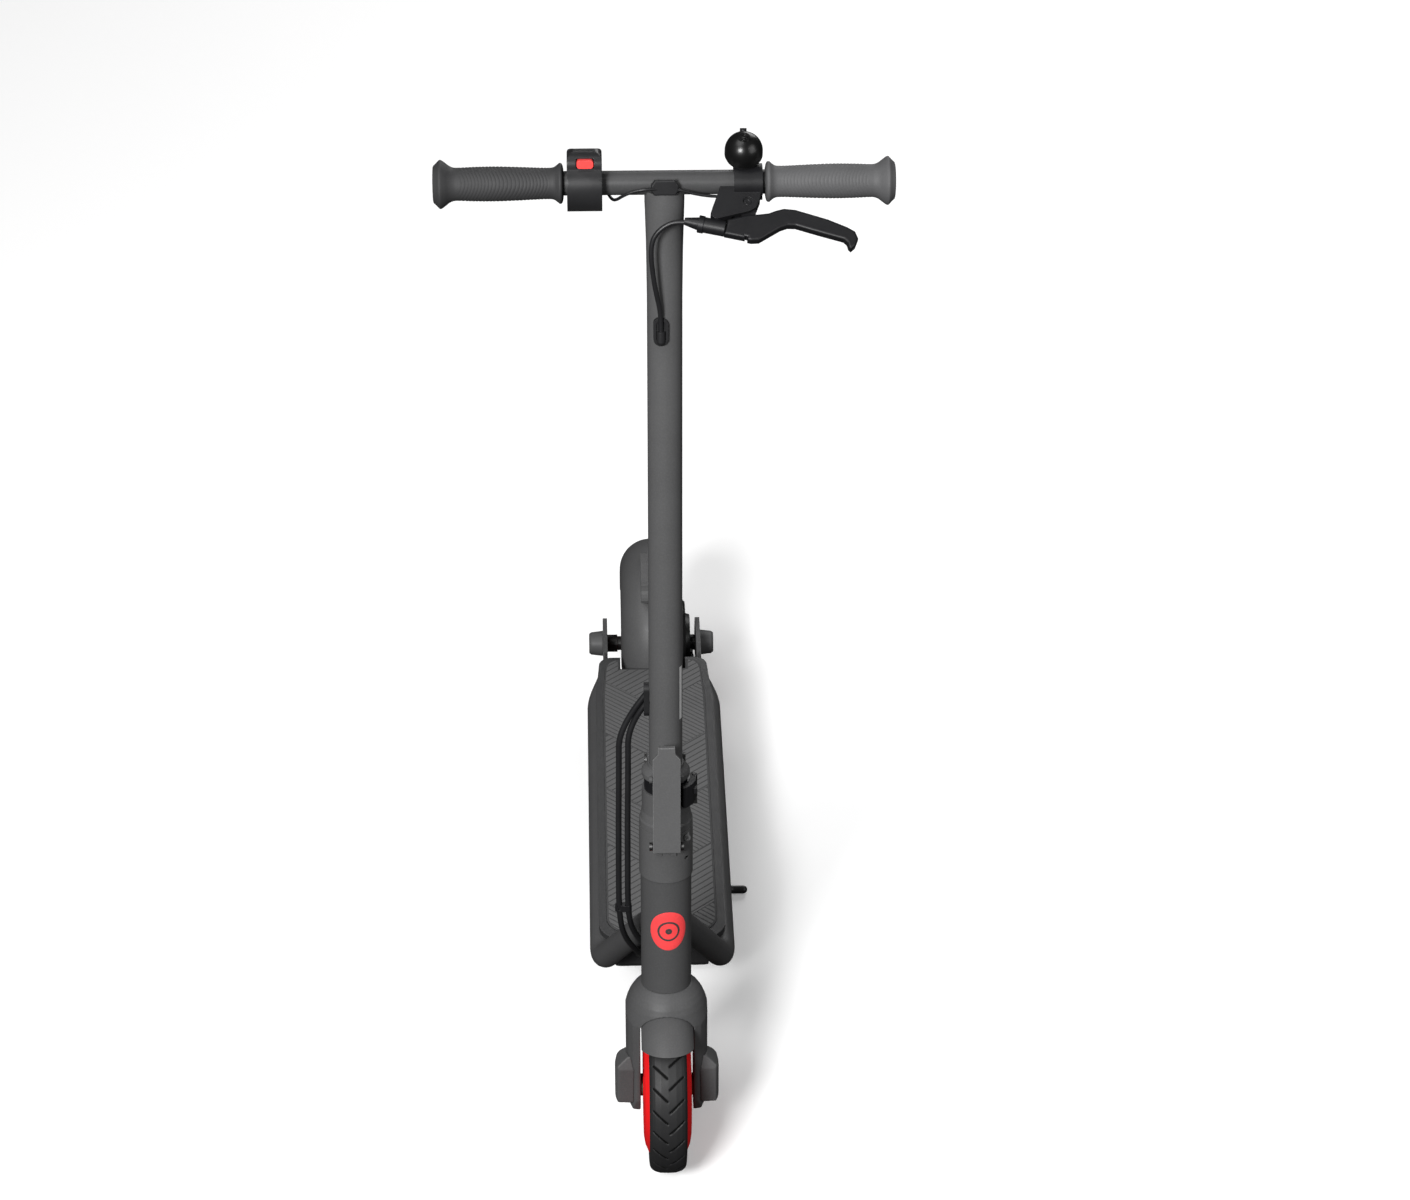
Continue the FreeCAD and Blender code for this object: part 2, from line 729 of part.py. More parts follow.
def fork():
    """Crown and two arms in one casting, with the steerer tube on top."""
    inside = D["fork_inner"]
    axle_b = -DIMENSIONS["axle_offset"]
    fender_r = D["fender_r"] + 0.15
    channel = turned([
        (-inside, 0), (-inside, fender_r - 17), (0, fender_r, -30.4), (inside, fender_r - 17, -30.4), (inside, 0),
    ], "H_Axis")
    place(channel, 0, axle_b, 0)
    bore = cross_pin(D["axle_r"] + 0.02, -60, 60, axle_b)
    steerer = cut(
        cylinder(D["steerer_r"], D["rim_top"] - 5 - 104, 0, 0, 104),
        cylinder(D["steerer_bore_r"], 230, 0, 0, 121),
    )
    keep(fuse(cut(fork_casting(), channel, bore), steerer), "fork", COLUMN)


def fork_cover(label, side):
    """The bulged cap over one end of the front axle, fitted round the arm."""
    wide = D["cover_half"]
    front = prism("XZ_Plane", [
        (31, -17), (37, -15), (45, -13.5), (51, -12.6), (wide, -8.5), (wide, 26), (wide - 1.8, 30.5), (47.5, 35),
        (41, 40.5), (31, 43),
    ], -45, 20)
    side_view = prism("YZ_Plane", [
        (-29, -12), (-24, -17), (-7, -17), (1, -10), (3, 26), (-5, 43), (-24, 43), (-29.5, 28),
    ], 30, 60)
    top_view = prism("XY_Plane", [
        (31, -30), (46, -30), (50.5, -29), (wide - 0.6, -25), (wide, -20), (wide, -9), (51.5, -2), (46, 1), (31, 3),
    ], -20, 50)
    shape = common(common(front, side_view), top_view)
    cap = cut(shape, fork_casting(), cross_pin(10.5, 30, 51.2, -DIMENSIONS["axle_offset"]))
    if side < 0:
        flipped = doc.addObject("Part::Mirroring", "mirror")
        flipped.Source = cap
        flipped.Normal = Vector(1, 0, 0)
        doc.recompute()
        cap = flipped
    keep(cap, label, COLUMN)


def front_axle():
    """The axle rod with the sleeves that space the wheel from the fork arms and a nut at each end."""
    parts = [cross_pin(D["axle_r"], -51, 51)]
    corners = [(10 * math.cos(math.radians(60 * k)), 10 * math.sin(math.radians(60 * k))) for k in range(6)]
    for side in (-1, 1):
        parts.append(cross_pin(11.5, side * 26.15 - 1.1, side * 26.15 + 1.1))
        parts.append(prism("YZ_Plane", corners, side * 46.2 - 4, side * 46.2 + 4))
    keep(fuse(*parts), "front_axle", FRONT_AXLE)


def front_fender():
    """A short half-round mudguard from the crown's arch down over the front of the tyre."""
    half, r, wall = D["fender_half"], D["fender_r"], D["fender_wall"]
    thin = half - wall
    section = [
        (-half, r - 17), (0, r, -29.7), (half, r - 17, -29.7), (thin, r - 17), (0, r - wall, 27.1),
        (-thin, r - 17, 27.1),
    ]
    start_deg = -28
    body = turned(section, "H_Axis", 70)
    place(body, 0, 0, 0, Rotation(Vector(1, 0, 0), start_deg))
    above_lip = prism("YZ_Plane", [(-130, 91.5), (-43.4, 72.4), (60, 49.6), (60, 130), (-130, 130)], -40, 40)
    keep(common(body, above_lip), "front_fender", FRONT_AXLE)


# ---------------------------------------------------------------- folding joint


HINGE_B, HINGE_T = D["hinge_b"], D["hinge_t"]
CATCH_HINGE = (28, 3)
CATCH_PIN_B = -23.8
LATCH_B, LATCH_T = D["latch_b"], D["latch_t"]
KNUCKLE_HALF = 9.6


def folding_base():
    """The cup clamped on the steerer, its neck, the rear hinge lugs and the front latch lugs."""
    low, rim, neck, top = D["base_low"], D["rim_top"], D["neck_r"], D["neck_top"]
    r, bore = D["base_r"], D["steerer_r"]
    cup = turned([
        (bore, low), (r, low), (r, 306), (r - 0.7, 306), (r - 0.7, 306.8), (r - 0.2, 306.8), (r - 0.3, 313),
        (r - 1.3, 315), (neck + 0.9, 319.5), (neck, 323), (neck, top), (bore, top),
    ])
    hinge_lug = [
        (12, 330), (22, 330), (35.5, HINGE_T - 8), (35.5, HINGE_T + 5), (30, HINGE_T + 8), (23, HINGE_T + 8),
        (20, 346.5), (12, 346.5),
    ]
    nose = 3.6
    latch_lug = [
        (-20, 283), (-27.6, 283), (-27.6, LATCH_T - nose), (LATCH_B, LATCH_T - nose),
        (LATCH_B - nose, LATCH_T, -nose), (LATCH_B, LATCH_T + nose, -nose), (-26, LATCH_T + 8.5),
        (-20, LATCH_T + 8.5),
    ]
    lugs = []
    for side in (-1, 1):
        lugs.append(prism("YZ_Plane", hinge_lug, side * 14 - 4, side * 14 + 4))
        lugs.append(prism("YZ_Plane", latch_lug, side * 7 - 2.6, side * 7 + 2.6))
    forward = Rotation(Vector(1, 0, 0), 90)
    bolt = cut(cylinder(3.6, 8, 20.6, -13.4, 300, forward), cylinder(1.9, 3, 20.6, -19.6, 300, forward))
    catch_ear = box(18, 31.4, -0.6, 6.6, 327, 333.6)
    catch_pin = cylinder(1.6, 30, CATCH_HINGE[0], CATCH_HINGE[1], 330)
    solid = cut(
        fuse(cup, *lugs, bolt, catch_ear, catch_pin),
        cylinder(2.0, 12, 20, -12, 275, forward),
        cross_pin(4.02, -30, 30, HINGE_B, HINGE_T),
        cross_pin(2.22, -30, 30, LATCH_B, LATCH_T),
        knuckle_pocket(),
        cylinder(bore, 60, 0, 0, rim - 5),
    )
    keep(solid, "folding_base", COLUMN)


def knuckle_pocket():
    """Room for the hinge knuckle to turn."""
    return cross_pin(9, -KNUCKLE_HALF - 0.3, KNUCKLE_HALF + 0.3, HINGE_B, HINGE_T)


def folding_seat():
    """The black ring the stem bracket closes onto."""
    seat = ring(14, 21.6, D["neck_top"] + 0.1, D["bracket_low"] - 0.3)
    keep(cut(seat, knuckle_pocket()), "folding_seat", COLUMN)


def hinge_pin():
    heads = [cross_pin(6.5, side * 19.3 - 1.2, side * 19.3 + 1.2, HINGE_B, HINGE_T) for side in (-1, 1)]
    keep(fuse(cross_pin(4, -19.5, 19.5, HINGE_B, HINGE_T), *heads), "fold_hinge_pin", COLUMN)


def latch_pin():
    heads = [cross_pin(4.2, side * 15.6 - 1.6, side * 15.6 + 1.6, LATCH_B, LATCH_T) for side in (-1, 1)]
    keep(fuse(cross_pin(2.2, -16.5, 16.5, LATCH_B, LATCH_T), *heads), "latch_pin", COLUMN)


def latch_lever():
    """A flat-faced channel that swings up over the joint and hooks the stem's cross pin."""
    half = 13.6
    wall = 2.4
    bottom = LATCH_T - 3.9
    plate = prism("XZ_Plane", mirrored([(half, bottom), (half, 398), (8.6, 404), (8.2, 411)]), -37.5, -34.9)
    pin_t = D["bracket_low"] + 7
    flange_side = [
        (-35.2, LATCH_T - 1.7), (-35.2, 396), (-31.5, 396), (-24, pin_t + 7), (-22.6, pin_t + 5),
        (-22.6, pin_t - 5.5), (-26, pin_t - 9), (-26, LATCH_T - 1.7),
    ]
    flanges = []
    for side in (-1, 1):
        middle = side * (half - wall / 2)
        flanges.append(prism("YZ_Plane", flange_side, middle - wall / 2, middle + wall / 2))
    tab = box(-8.2, 8.2, -37.5, -32.5, 408.5, 411)
    hole = cross_pin(2.2 + D["running_gap"], -20, 20, LATCH_B, LATCH_T)
    notch = box(-20, 20, CATCH_PIN_B, -15, pin_t - 2.9, pin_t + 2.9)
    seat = cross_pin(2.9, -20, 20, CATCH_PIN_B, pin_t)
    keep(cut(fuse(plate, tab, *flanges), hole, notch, seat), "latch_lever", COLUMN)


def safety_catch():
    """The small thumb catch round the side of the neck that keeps the latch from opening on its own."""
    arm = prism("XY_Plane", [(24.4, 2), (30.4, 2), (29.6, -8), (26.2, -17), (20.6, -23.4), (16.6, -25.4),
                             (15.0, -20.0), (18.0, -16.4)], 336, 359)
    hub = cylinder(3.4, 25, CATCH_HINGE[0], CATCH_HINGE[1], 334)
    thumb_step = box(24, 31, -14, -7, 346, 352)
    solid = cut(
        fuse(arm, hub, thumb_step),
        cylinder(24.4, 60, 0, 0, 320),
        cylinder(1.6 + D["running_gap"], 60, CATCH_HINGE[0], CATCH_HINGE[1], 320),
    )
    keep(solid, "safety_catch", COLUMN)


# ---------------------------------------------------------------- stem and handlebar


def stem_bracket():
    """The socket at the foot of the stem, with its hinge knuckle and the latch's cross pin."""
    low, r = D["bracket_low"], D["neck_r"]
    bore = D["stem_r"] + 0.02
    socket = turned([
        (bore, low), (r - 0.6, low), (r, low + 1), (r, low + 5.5), (r - 1.6, low + 8), (bore + 1.8, low + 11),
        (bore + 1.2, low + 15), (bore, low + 15),
    ])
    side_room = KNUCKLE_HALF + 0.05
    socket = cut(
        socket,
        cross_pin(12.5, side_room, 30, HINGE_B, HINGE_T),
        cross_pin(12.5, -30, -side_room, HINGE_B, HINGE_T),
    )
    knuckle = prism("YZ_Plane", [
        (16, low + 1), (23, low + 0.2), (24, HINGE_T - 7), (30, HINGE_T - 7.5), (34.5, HINGE_T - 3),
        (34.5, HINGE_T + 4), (31, low + 9), (16, low + 14),
    ], -KNUCKLE_HALF, KNUCKLE_HALF)
    pin_t = low + 7
    lug = box(-8.5, 8.5, -23.5, -16, low + 2, low + 12)
    pin = cross_pin(2.5, -16.5, 16.5, CATCH_PIN_B, pin_t)
    heads = [cross_pin(3.6, side * 15.4 - 1.4, side * 15.4 + 1.4, CATCH_PIN_B, pin_t) for side in (-1, 1)]
    solid = fuse(socket, knuckle, lug, pin, *heads)
    hole = cross_pin(4 + D["running_gap"], -12, 12, HINGE_B, HINGE_T)
    keep(cut(solid, hole, cylinder(bore, 60, 0, 0, low - 10)), "stem_bracket", COLUMN)


def stem_tube():
    """The stem, flared at the top where it is welded under the handlebar."""
    low, r, wall = D["bracket_low"], D["stem_r"], D["stem_wall"]
    top = D["bar_t"] - 6
    body = turned([
        (r - wall, low), (r, low), (r, 870), (17.0, 915), (18.3, 962), (18.3, top), (16.3, top), (16.3, 962),
        (15, 915), (r - wall, 870),
    ])
    bar = cross_pin(D["bar_r"] + 0.02, -60, 60, 0, D["bar_t"])
    front_hole = cylinder(5.2, 30, -3.9, -8, 840, Rotation(Vector(1, 0, 0), 90))
    side_hole = cylinder(5.2, 30, -8, 0, 444, Rotation(Vector(0, 1, 0), -90))
    keep(cut(body, bar, front_hole, side_hole), "stem_tube", COLUMN)


def handlebar():
    half = D["bar_half"]
    outer = cross_pin(D["bar_r"], -half, half, 0, D["bar_t"])
    inner = cross_pin(D["bar_r"] - 2, -half - 1, half + 1, 0, D["bar_t"])
    keep(cut(outer, inner), "handlebar", COLUMN)


def grip(label, side):
    """A soft sleeve with a thick flange at the outer end and a small one inside."""
    start, end = D["grip_in"], D["grip_out"]
    bore = D["bar_r"] + 0.02
    cap = D["bar_half"] + 0.2
    body = turned([
        (start, bore), (start, 13.2), (start + 1.6, 17.6), (start + 4, 18.6), (start + 6.5, 15.6), (start + 11, 14.0),
        (start + 30, 14.7), (start + 58, 15.8), (start + 84, 15.6), (end - 19, 15.0), (end - 13, 17.2),
        (end - 9.5, 20.6), (end - 7, 22.25), (end - 4, 22.0), (end - 0.8, 19.6), (end, 17.6), (end, 0), (cap, 0),
        (cap, bore),
    ], "H_Axis")
    turn = Rotation() if side > 0 else Rotation(Vector(0, 0, 1), 180)
    keep(body, label, COLUMN.multiply(Placement(Vector(0, 0, DIMENSIONS["bar_t"]), turn)))


def throttle_housing():
    """The display and throttle pod: a deep ring round the bar with a domed top."""
    x0, x1, t = -88.5, -56.7, D["bar_t"]
    pod = fuse(
        cross_pin(26, x0, x1, 1.5, t),
        box(x0, x1, -17, 21, t, t + 21),
        box(x0, x1, -17, 10, t, t + 20.6),
        cross_pin(12, x0, x1, -5, t + 20.6),
        cross_pin(12, x0, x1, -0.6, t + 20.6),
    )
    top, corner = t + 32.6, 6.5
    front_view = prism("XZ_Plane", [
        (x0, t - 30), (x1, t - 30), (x1, top - corner), (x1 - corner, top, corner), (x0 + corner, top),
        (x0, top - corner, corner),
    ], -40, 40)
    pod = common(pod, front_view)
    bar = cross_pin(D["bar_r"] + 0.02, -100, 100, 0, t)
    button_way = cylinder(3.9, 6, -72, -14, t + 24.1, Rotation(Vector(1, 0, 0), 90))
    button_slot = box(-79.9, -64.1, -18, -11.8, t + 20.0, t + 28.2)
    lever_slot = box(x0 + 8, x1 - 8, 13, 32, t - 20, t - 4)
    pin_way = cross_pin(1.5 + D["running_gap"], x0 + 5.5, x1 - 5.5, 18, t - 11)
    keep(cut(pod, bar, button_way, button_slot, lever_slot, pin_way), "throttle_housing", COLUMN)


def power_button():
    """The red pill on the front of the pod."""
    t = D["bar_t"] + 24.1
    pill = box(-79.5, -64.5, -19, -12.6, t - 3.8, t + 3.8)
    pill = rounded(pill, 2.8, runs_along(Vector(0, 1, 0)))
    keep(pill, "power_button", COLUMN)


def thumb_lever():
    """The throttle paddle on the rider's side, turning on a cross pin inside the pod."""
    t = D["bar_t"]
    paddle = prism("YZ_Plane", [(16, t - 15), (22, t - 18), (38, t - 27), (46, t - 36), (48, t - 34),
                                (42, t - 23), (26, t - 9), (18, t - 7)], -79, -66)
    paddle = rounded(paddle, 1.2, runs_along(Vector(1, 0, 0)))
    hub = cross_pin(4.2, -79, -66, 18, t - 11)
    pin = cross_pin(1.5, -82.5, -62.7, 18, t - 11)
    keep(fuse(paddle, hub, pin), "thumb_lever", COLUMN)


LEVER_DROP = math.radians(40)


def lever_plane():
    """The brake lever's own frame: x across, y forward and down from the bar's centre, z square to both."""
    turn = Rotation(Vector(1, 0, 0), 180 + math.degrees(LEVER_DROP))
    return COLUMN.multiply(Placement(Vector(0, 0, DIMENSIONS["bar_t"]), turn))


LEVER = lever_plane()


def plate_solid(points, low, high):
    corners = [Vector(x, y, low) for x, y in points]
    return Part.Face(Part.makePolygon(corners + corners[:1])).extrude(Vector(0, 0, high - low))


BARREL = Rotation(Vector(0, 0, 1), 13).multiply(Rotation(Vector(0, 1, 0), 90))
BARREL_START = (35.0, 44.6)
LEVER_PIVOT = (75.1, 24.0)


def barrel_point(distance):
    """A point on the hose barrel's axis; negative distances run out towards the hose."""
    slope = math.radians(13)
    return BARREL_START[0] + distance * math.cos(slope), BARREL_START[1] + distance * math.sin(slope)


def barrel_rod(radius, start, end):
    x, y = barrel_point(start)
    return cylinder(radius, end - start, x, y, 0, BARREL)


def brake_perch():
    """Clamp band, the slotted plate that carries the lever on its pin, and the barrel the hose enters."""
    clamp = cross_pin(16.6, 63, 89)
    plate = prism("XY_Plane", [
        (52, 4), (88, 4), (86.5, 20), (82.5, 30.5), (76, 34.5), (62, 38), (46, 42), (40.5, 38), (43, 30),
    ], -7, 6)
    plate = rounded(plate, 2.5, runs_along(Vector(0, 0, 1)))
    slot = prism("XY_Plane", [(63, 13), (100, 13), (100, 70), (60, 70), (60, 36), (63, 32)], -3.4, 3.4)
    barrel = barrel_rod(7.2, 0, 19.5)
    bar = cross_pin(D["bar_r"] + 0.02, 0, 200)
    x, y = LEVER_PIVOT
    well = cylinder(4.4, 4, x, y, -9.4)
    pin = cut(cylinder(3, 13.4, x, y, -5.6), cylinder(1.6, 1.4, x, y, -5.7))
    head = cylinder(5, 2, x, y, 5.9)
    solid = fuse(cut(fuse(clamp, plate), slot, well), barrel, pin, head)
    keep(cut(solid, bar, barrel_rod(3.0, -4, 60)), "brake_perch", LEVER)


def cable_adjuster():
    """The threaded barrel end with its knurled nut and slotted nose."""
    nut = barrel_rod(8.0, -5.2, -0.1)
    x, y = barrel_point(-18)
    cone = doc.addObject("Part::Cone", "nose")
    bind(cone, Radius1=3.4, Radius2=6.0, Height=12.9)
    place(cone, x, y, 0, BARREL)
    stud = barrel_rod(2.95, -6, 12)
    keep(cut(fuse(nut, cone, stud), barrel_rod(2.32, -30, 40)), "cable_adjuster", LEVER)


def brake_lever():
    """A wide bent blade with a hooked tip; its thin inner ear turns on the pin inside the slot."""
    blade = prism("XY_Plane", [
        (52.8, 56.1), (56.2, 41.0), (62, 39.4), (71.2, 37.2), (76, 36.2), (84, 36.0), (93.7, 34.9), (100.5, 32.2), (107.8, 30.3), (118.2, 31.6),
        (147.3, 41.8), (164.4, 49.9), (171.4, 54.5), (173.9, 61.5), (170.8, 69.3), (166.8, 73.0), (164.6, 70.6),
        (163.6, 66.2), (160.6, 62.8), (138.1, 55.5), (117.6, 48.4), (110.5, 48.1), (103.6, 50.6), (84.2, 62.9),
        (77, 63.2), (73.6, 62.3), (73.6, 59.4), (71.6, 58.9), (71.4, 60.5),
    ], -4.6, 4.6)
    blade = rounded(blade, 2.4, lambda edge: edge.BoundBox.ZLength < 0.01)
    ear = prism("XY_Plane", [(72, 18.5), (80, 18.5), (82.5, 24), (82, 40), (70, 40), (68, 30), (68.5, 21)], -3.1, 3.1)
    hole = cylinder(3 + D["running_gap"], 20, LEVER_PIVOT[0], LEVER_PIVOT[1], -10)
    keep(cut(fuse(blade, ear), hole), "brake_lever", LEVER)


BELL_LIFT = 30
BELL_LEAN = math.radians(29)
BELL = COLUMN.multiply(Placement(
    Vector(72, 0, DIMENSIONS["bar_t"] + BELL_LIFT), Rotation(Vector(1, 0, 0), math.degrees(BELL_LEAN))
))


def below_bell(distance):
    """A point (y, z) in the bell's frame on the line up from the handlebar's centre."""
    down = BELL_LIFT - distance
    return -down * math.sin(BELL_LEAN), -down * math.cos(BELL_LEAN)


def bell_base():
    """The cup under the dome with its short neck on the clamp and the striker's fork behind."""
    cup = turned([(0, -1.5), (15.2, -1.5), (15.2, -5.4), (16.8, -5.4), (16.2, -8), (12, -13), (7, -15.8), (0, -16.6)])
    neck = cylinder(6, 14, 0, *below_bell(12), Rotation(Vector(1, 0, 0), -math.degrees(BELL_LEAN)))
    ear = [(10, -6.2), (10, -10), (20, -9.6), (22, -4), (21.4, 0.6), (18, 0.6), (17.9, -6.2)]
    ears = [prism("YZ_Plane", ear, side * 4.3 - 1, side * 4.3 + 1) for side in (-1, 1)]
    clamp = cross_pin(16.62, -40, 40, *below_bell(0))
    hole = cross_pin(1.52, -10, 10, 19.5, -2)
    keep(cut(fuse(cup, neck, *ears), clamp, hole), "bell_base", BELL)


def bell_dome():
    """The ringing shell with its straight skirt, centre washer and screw."""
    outer, inner, skirt = 17.4, 15.7, -5
    shell = turned([
        (0, inner), (inner, 0, -inner), (inner, skirt), (outer, skirt), (outer, 0), (0, outer, outer),
    ])
    washer = cylinder(5.2, 2.2, 0, 0, outer - 1.4)
    screw = cut(cylinder(2.9, 3.4, 0, 0, outer - 1.4), cylinder(1.5, 2, 0, 0, outer + 1))
    post = cylinder(2, outer, 0, 0, -1.45)
    keep(fuse(shell, washer, screw, post), "bell_dome", BELL)


def bell_striker():
    """A thumb striker: a sprung strip that turns on a cross pin behind the dome."""
    strip = prism("YZ_Plane", [(18.2, -5), (20.8, -5), (21.2, 2.5), (19.4, 8.4), (17, 8), (18.8, 2.5)], -3, 3)
    knob = sphere(2.5, 0, 17.2, 7.2)
    pin = cross_pin(1.5, -5.2, 5.2, 19.5, -2)
    keep(cut(fuse(strip, knob, pin), sphere(17.75), cylinder(17.75, 6, 0, 0, -6)), "bell_striker", BELL)


# ---------------------------------------------------------------- grommets and cords


def bar_grommet():
    """The rubber cap in the corner of stem and handlebar where the control wires leave."""
    t = D["bar_t"]
    cap = prism("XZ_Plane", [
        (-10, t - 6), (10, t - 6), (12.8, t - 1), (12.4, t + 3.4), (9, t + 8.8), (-9, t + 8.8), (-12.4, t + 3.4),
        (-12.8, t - 1),
    ], -19.6, -6)
    cap = rounded(cap, 1.6, lambda edge: edge.BoundBox.YLength < 0.01 and edge.BoundBox.Center.y < -19)
    bar = cross_pin(D["bar_r"] + 0.05, -30, 30, 0, t)
    stem = cylinder(18.35, 60, 0, 0, t - 50)
    keep(cut(cap, bar, stem), "bar_grommet", COLUMN)


def slot_outline(x, z, half, reach):
    """A stadium, half wide and reach from its centre to either end."""
    straight = reach - half
    return [(x - half, z - straight), (x, z - reach, half), (x + half, z - straight, half),
            (x + half, z + straight), (x, z + reach, half), (x - half, z + straight, half)]


def stem_grommet():
    """The oval rubber frame low on the front of the stem, where the brake hose goes in."""
    pad = prism("XZ_Plane", slot_outline(-3.9, 841, 7, 14), -19, -12)
    well = prism("XZ_Plane", slot_outline(-3.9, 841, 4.4, 11), -20, -17.9)
    boot = fuse(cylinder(4.1, 10, -3.9, -18.9, 832), sphere(4.1, -3.9, -18.9, 832))
    stem = cylinder(D["stem_r"] + 0.02, 60, 0, 0, 810)
    hose_way = cylinder(2.35, 30, -3.9, -18.9, 837.9)
    keep(cut(fuse(cut(pad, well), boot), hose_way, stem), "stem_grommet", COLUMN)


def side_gland():
    """The oval gland on the side of the stem that lets the two long cables out."""
    pad = prism("YZ_Plane", slot_outline(2, 445, 6.5, 18), -21.4, -10)
    stem = cylinder(D["stem_r"] + 0.02, 80, 0, 0, 405)
    ways = [shape_tool(solid) for solid in (cable_bore(CABLE_A), cable_bore(CABLE_B))]
    keep(cut(pad, stem, *ways), "side_gland", COLUMN)


def cable_bore(points):
    """A straight clearance hole along a cable's first run."""
    heading = points[1] - points[0]
    start = points[0] - heading * 0.4
    return Part.makeCylinder(CABLE_R + 0.25, heading.Length * 1.1, start, heading)


CABLE_R = 3.0
HOSE_R = 2.3
WIRE_R = 1.45
CABLE_A = [Vector(-12, 2, 460), Vector(-46.2, 3, 417), Vector(-46.4, 5, 362), Vector(-47.2, 6, 304)]
CABLE_B = [Vector(-12, 2, 449), Vector(-37.2, 3, 420), Vector(-37.2, 5, 364), Vector(-38.2, 6, 304)]
CABLE_A_LOW = [
    Vector(-47.2, 6, 303.6), Vector(-47.6, 7, 248), Vector(-47.6, 9, 194), Vector(-43, 20, 160),
    Vector(-30, 38, 130), Vector(-24, 72, 104), Vector(-26, 118, 74), Vector(-28.5, 160, 50), Vector(-28.5, 192, 53.6),
]
CABLE_B_LOW = [
    Vector(-38.2, 6, 303.6), Vector(-38.5, 7, 250), Vector(-38.6, 9, 200), Vector(-35, 19, 169),
    Vector(-21, 38, 136), Vector(-15.5, 72, 108), Vector(-17, 118, 76), Vector(-19.5, 160, 50), Vector(-19.5, 192, 53.6),
]
HOSE = [
    Vector(30, -33.5, 951.9), Vector(12, -30.4, 954.6), Vector(-4.9, -30.5, 947.1), Vector(-14.2, -31, 931.4),
    Vector(-10.5, -28.5, 893), Vector(-5, -22.5, 866), Vector(-3.9, -18.9, 852), Vector(-3.9, -18.9, 838),
]
WIRE_LEFT = [Vector(-3, -17, 980), Vector(-14, -20.5, 981), Vector(-28, -18.5, 978.5), Vector(-38, -15.5, 973),
             Vector(-44.5, -9, 966.5), Vector(-48, 2, 963.5), Vector(-52, 11, 967), Vector(-57, 16, 973)]
WIRE_RIGHT = [Vector(3, -17, 980.5), Vector(13, -18.5, 979.5), Vector(27, -17.5, 975), Vector(42, -17.5, 972.5),
              Vector(53, -17, 972)]
REAR_CABLE = [Vector(38, 628, 92), Vector(38, 658, 92), Vector(42, 686, 95), Vector(48.7, 708, 95),
              Vector(48.7, 724, 93)]
REAR_CABLE_R = 2.4


def upper_cables():
    """Two cables from the side gland down past the folding joint."""
    pair = [cord_shape("upper cable", points, CABLE_R) for points in (CABLE_A, CABLE_B)]
    shape_piece("cables_upper", Part.makeCompound(pair), COLUMN)


def lower_cables():
    """The same two cables from beside the folding base to the gland on the tray's front wall."""
    pair = [cord_shape("lower cable", points, CABLE_R) for points in (CABLE_A_LOW, CABLE_B_LOW)]
    shape_piece("cables_lower", Part.makeCompound(pair), COLUMN)


def brake_hose():
    shape_piece("brake_hose", cord_shape("brake hose", HOSE, HOSE_R), COLUMN)


def control_wires():
    pair = [cord_shape("control wire", points, WIRE_R) for points in (WIRE_LEFT, WIRE_RIGHT)]
    shape_piece("control_wires", Part.makeCompound(pair), COLUMN)


def rear_brake_cable():
    """The short outer cable from the tray to the drum, open at its end for the arm's wire."""
    cord = cord_shape("rear brake cable", REAR_CABLE, REAR_CABLE_R)
    heading = REAR_CABLE[-1] - REAR_CABLE[-2]
    bore = Part.makeCylinder(1.2, 12, REAR_CABLE[-1] - heading.normalize() * 10, heading)
    shape_piece("rear_brake_cable", cord.cut(bore))


def cable_tie():
    """The band that holds the two lower cables together."""
    band = box(-51.6, -34.6, 6.2, 14.2, 197, 204)
    band = rounded(band, 3.2, runs_along(Vector(0, 0, 1)))
    ways = [shape_tool(sweep(route(points)[0], points[0], points[1] - points[0], CABLE_R + 0.05))
            for points in (CABLE_A_LOW, CABLE_B_LOW)]
    keep(cut(band, *ways), "cable_tie", COLUMN)


def build():
    head_tube()
    head_bearings()
    for side, name in ((1, "left"), (-1, "right")):
        main_tube(f"main_tube_{name}", side)
        dropout(f"dropout_{name}", side)
        fork_cover(f"fork_cover_{name}", side)
        grip(f"grip_{name}", side)
    for piece in (
        deck_tray, deck_cover, deck_mat, battery_and_controller, charge_port, rear_fender,
        stand_bracket, kickstand, rear_axle, axle_caps, brake_plate, brake_arm, motor_stator, front_rim,
        front_bearings, rear_hub, fork, front_axle, front_fender, folding_base, folding_seat,
        hinge_pin, latch_pin, latch_lever, safety_catch, stem_bracket, stem_tube, handlebar,
        throttle_housing, power_button, thumb_lever, brake_perch, cable_adjuster, brake_lever,
        bell_base, bell_dome, bell_striker, bar_grommet, stem_grommet, side_gland, upper_cables,
        lower_cables, brake_hose, control_wires, rear_brake_cable, cable_tie,
    ):
        piece()
    tyre("front_tyre", FRONT_AXLE)
    tyre("rear_tyre", REAR_AXLE)


def export():
    """Checks every object and writes one STEP file for each piece."""
    doc.recompute()
    for obj in doc.Objects:
        bad = [state for state in obj.State if state in ("Invalid", "Error")]
        if bad:
            raise RuntimeError(f"{obj.Label}: {bad}")
    for obj in nodes:
        shape = obj.Shape
        if shape.isNull() or not shape.isValid() or not shape.Solids:
            raise RuntimeError(f"{obj.Label} has no valid solid")
        shape.exportStep(f"parts/{obj.Label}.step")
        print(obj.Label, len(shape.Solids), round(shape.Volume / 1000, 2))
    print(len(nodes), "pieces")


build()
export()
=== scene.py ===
import math

import bpy
import numpy as np
from mathutils import Matrix, Vector


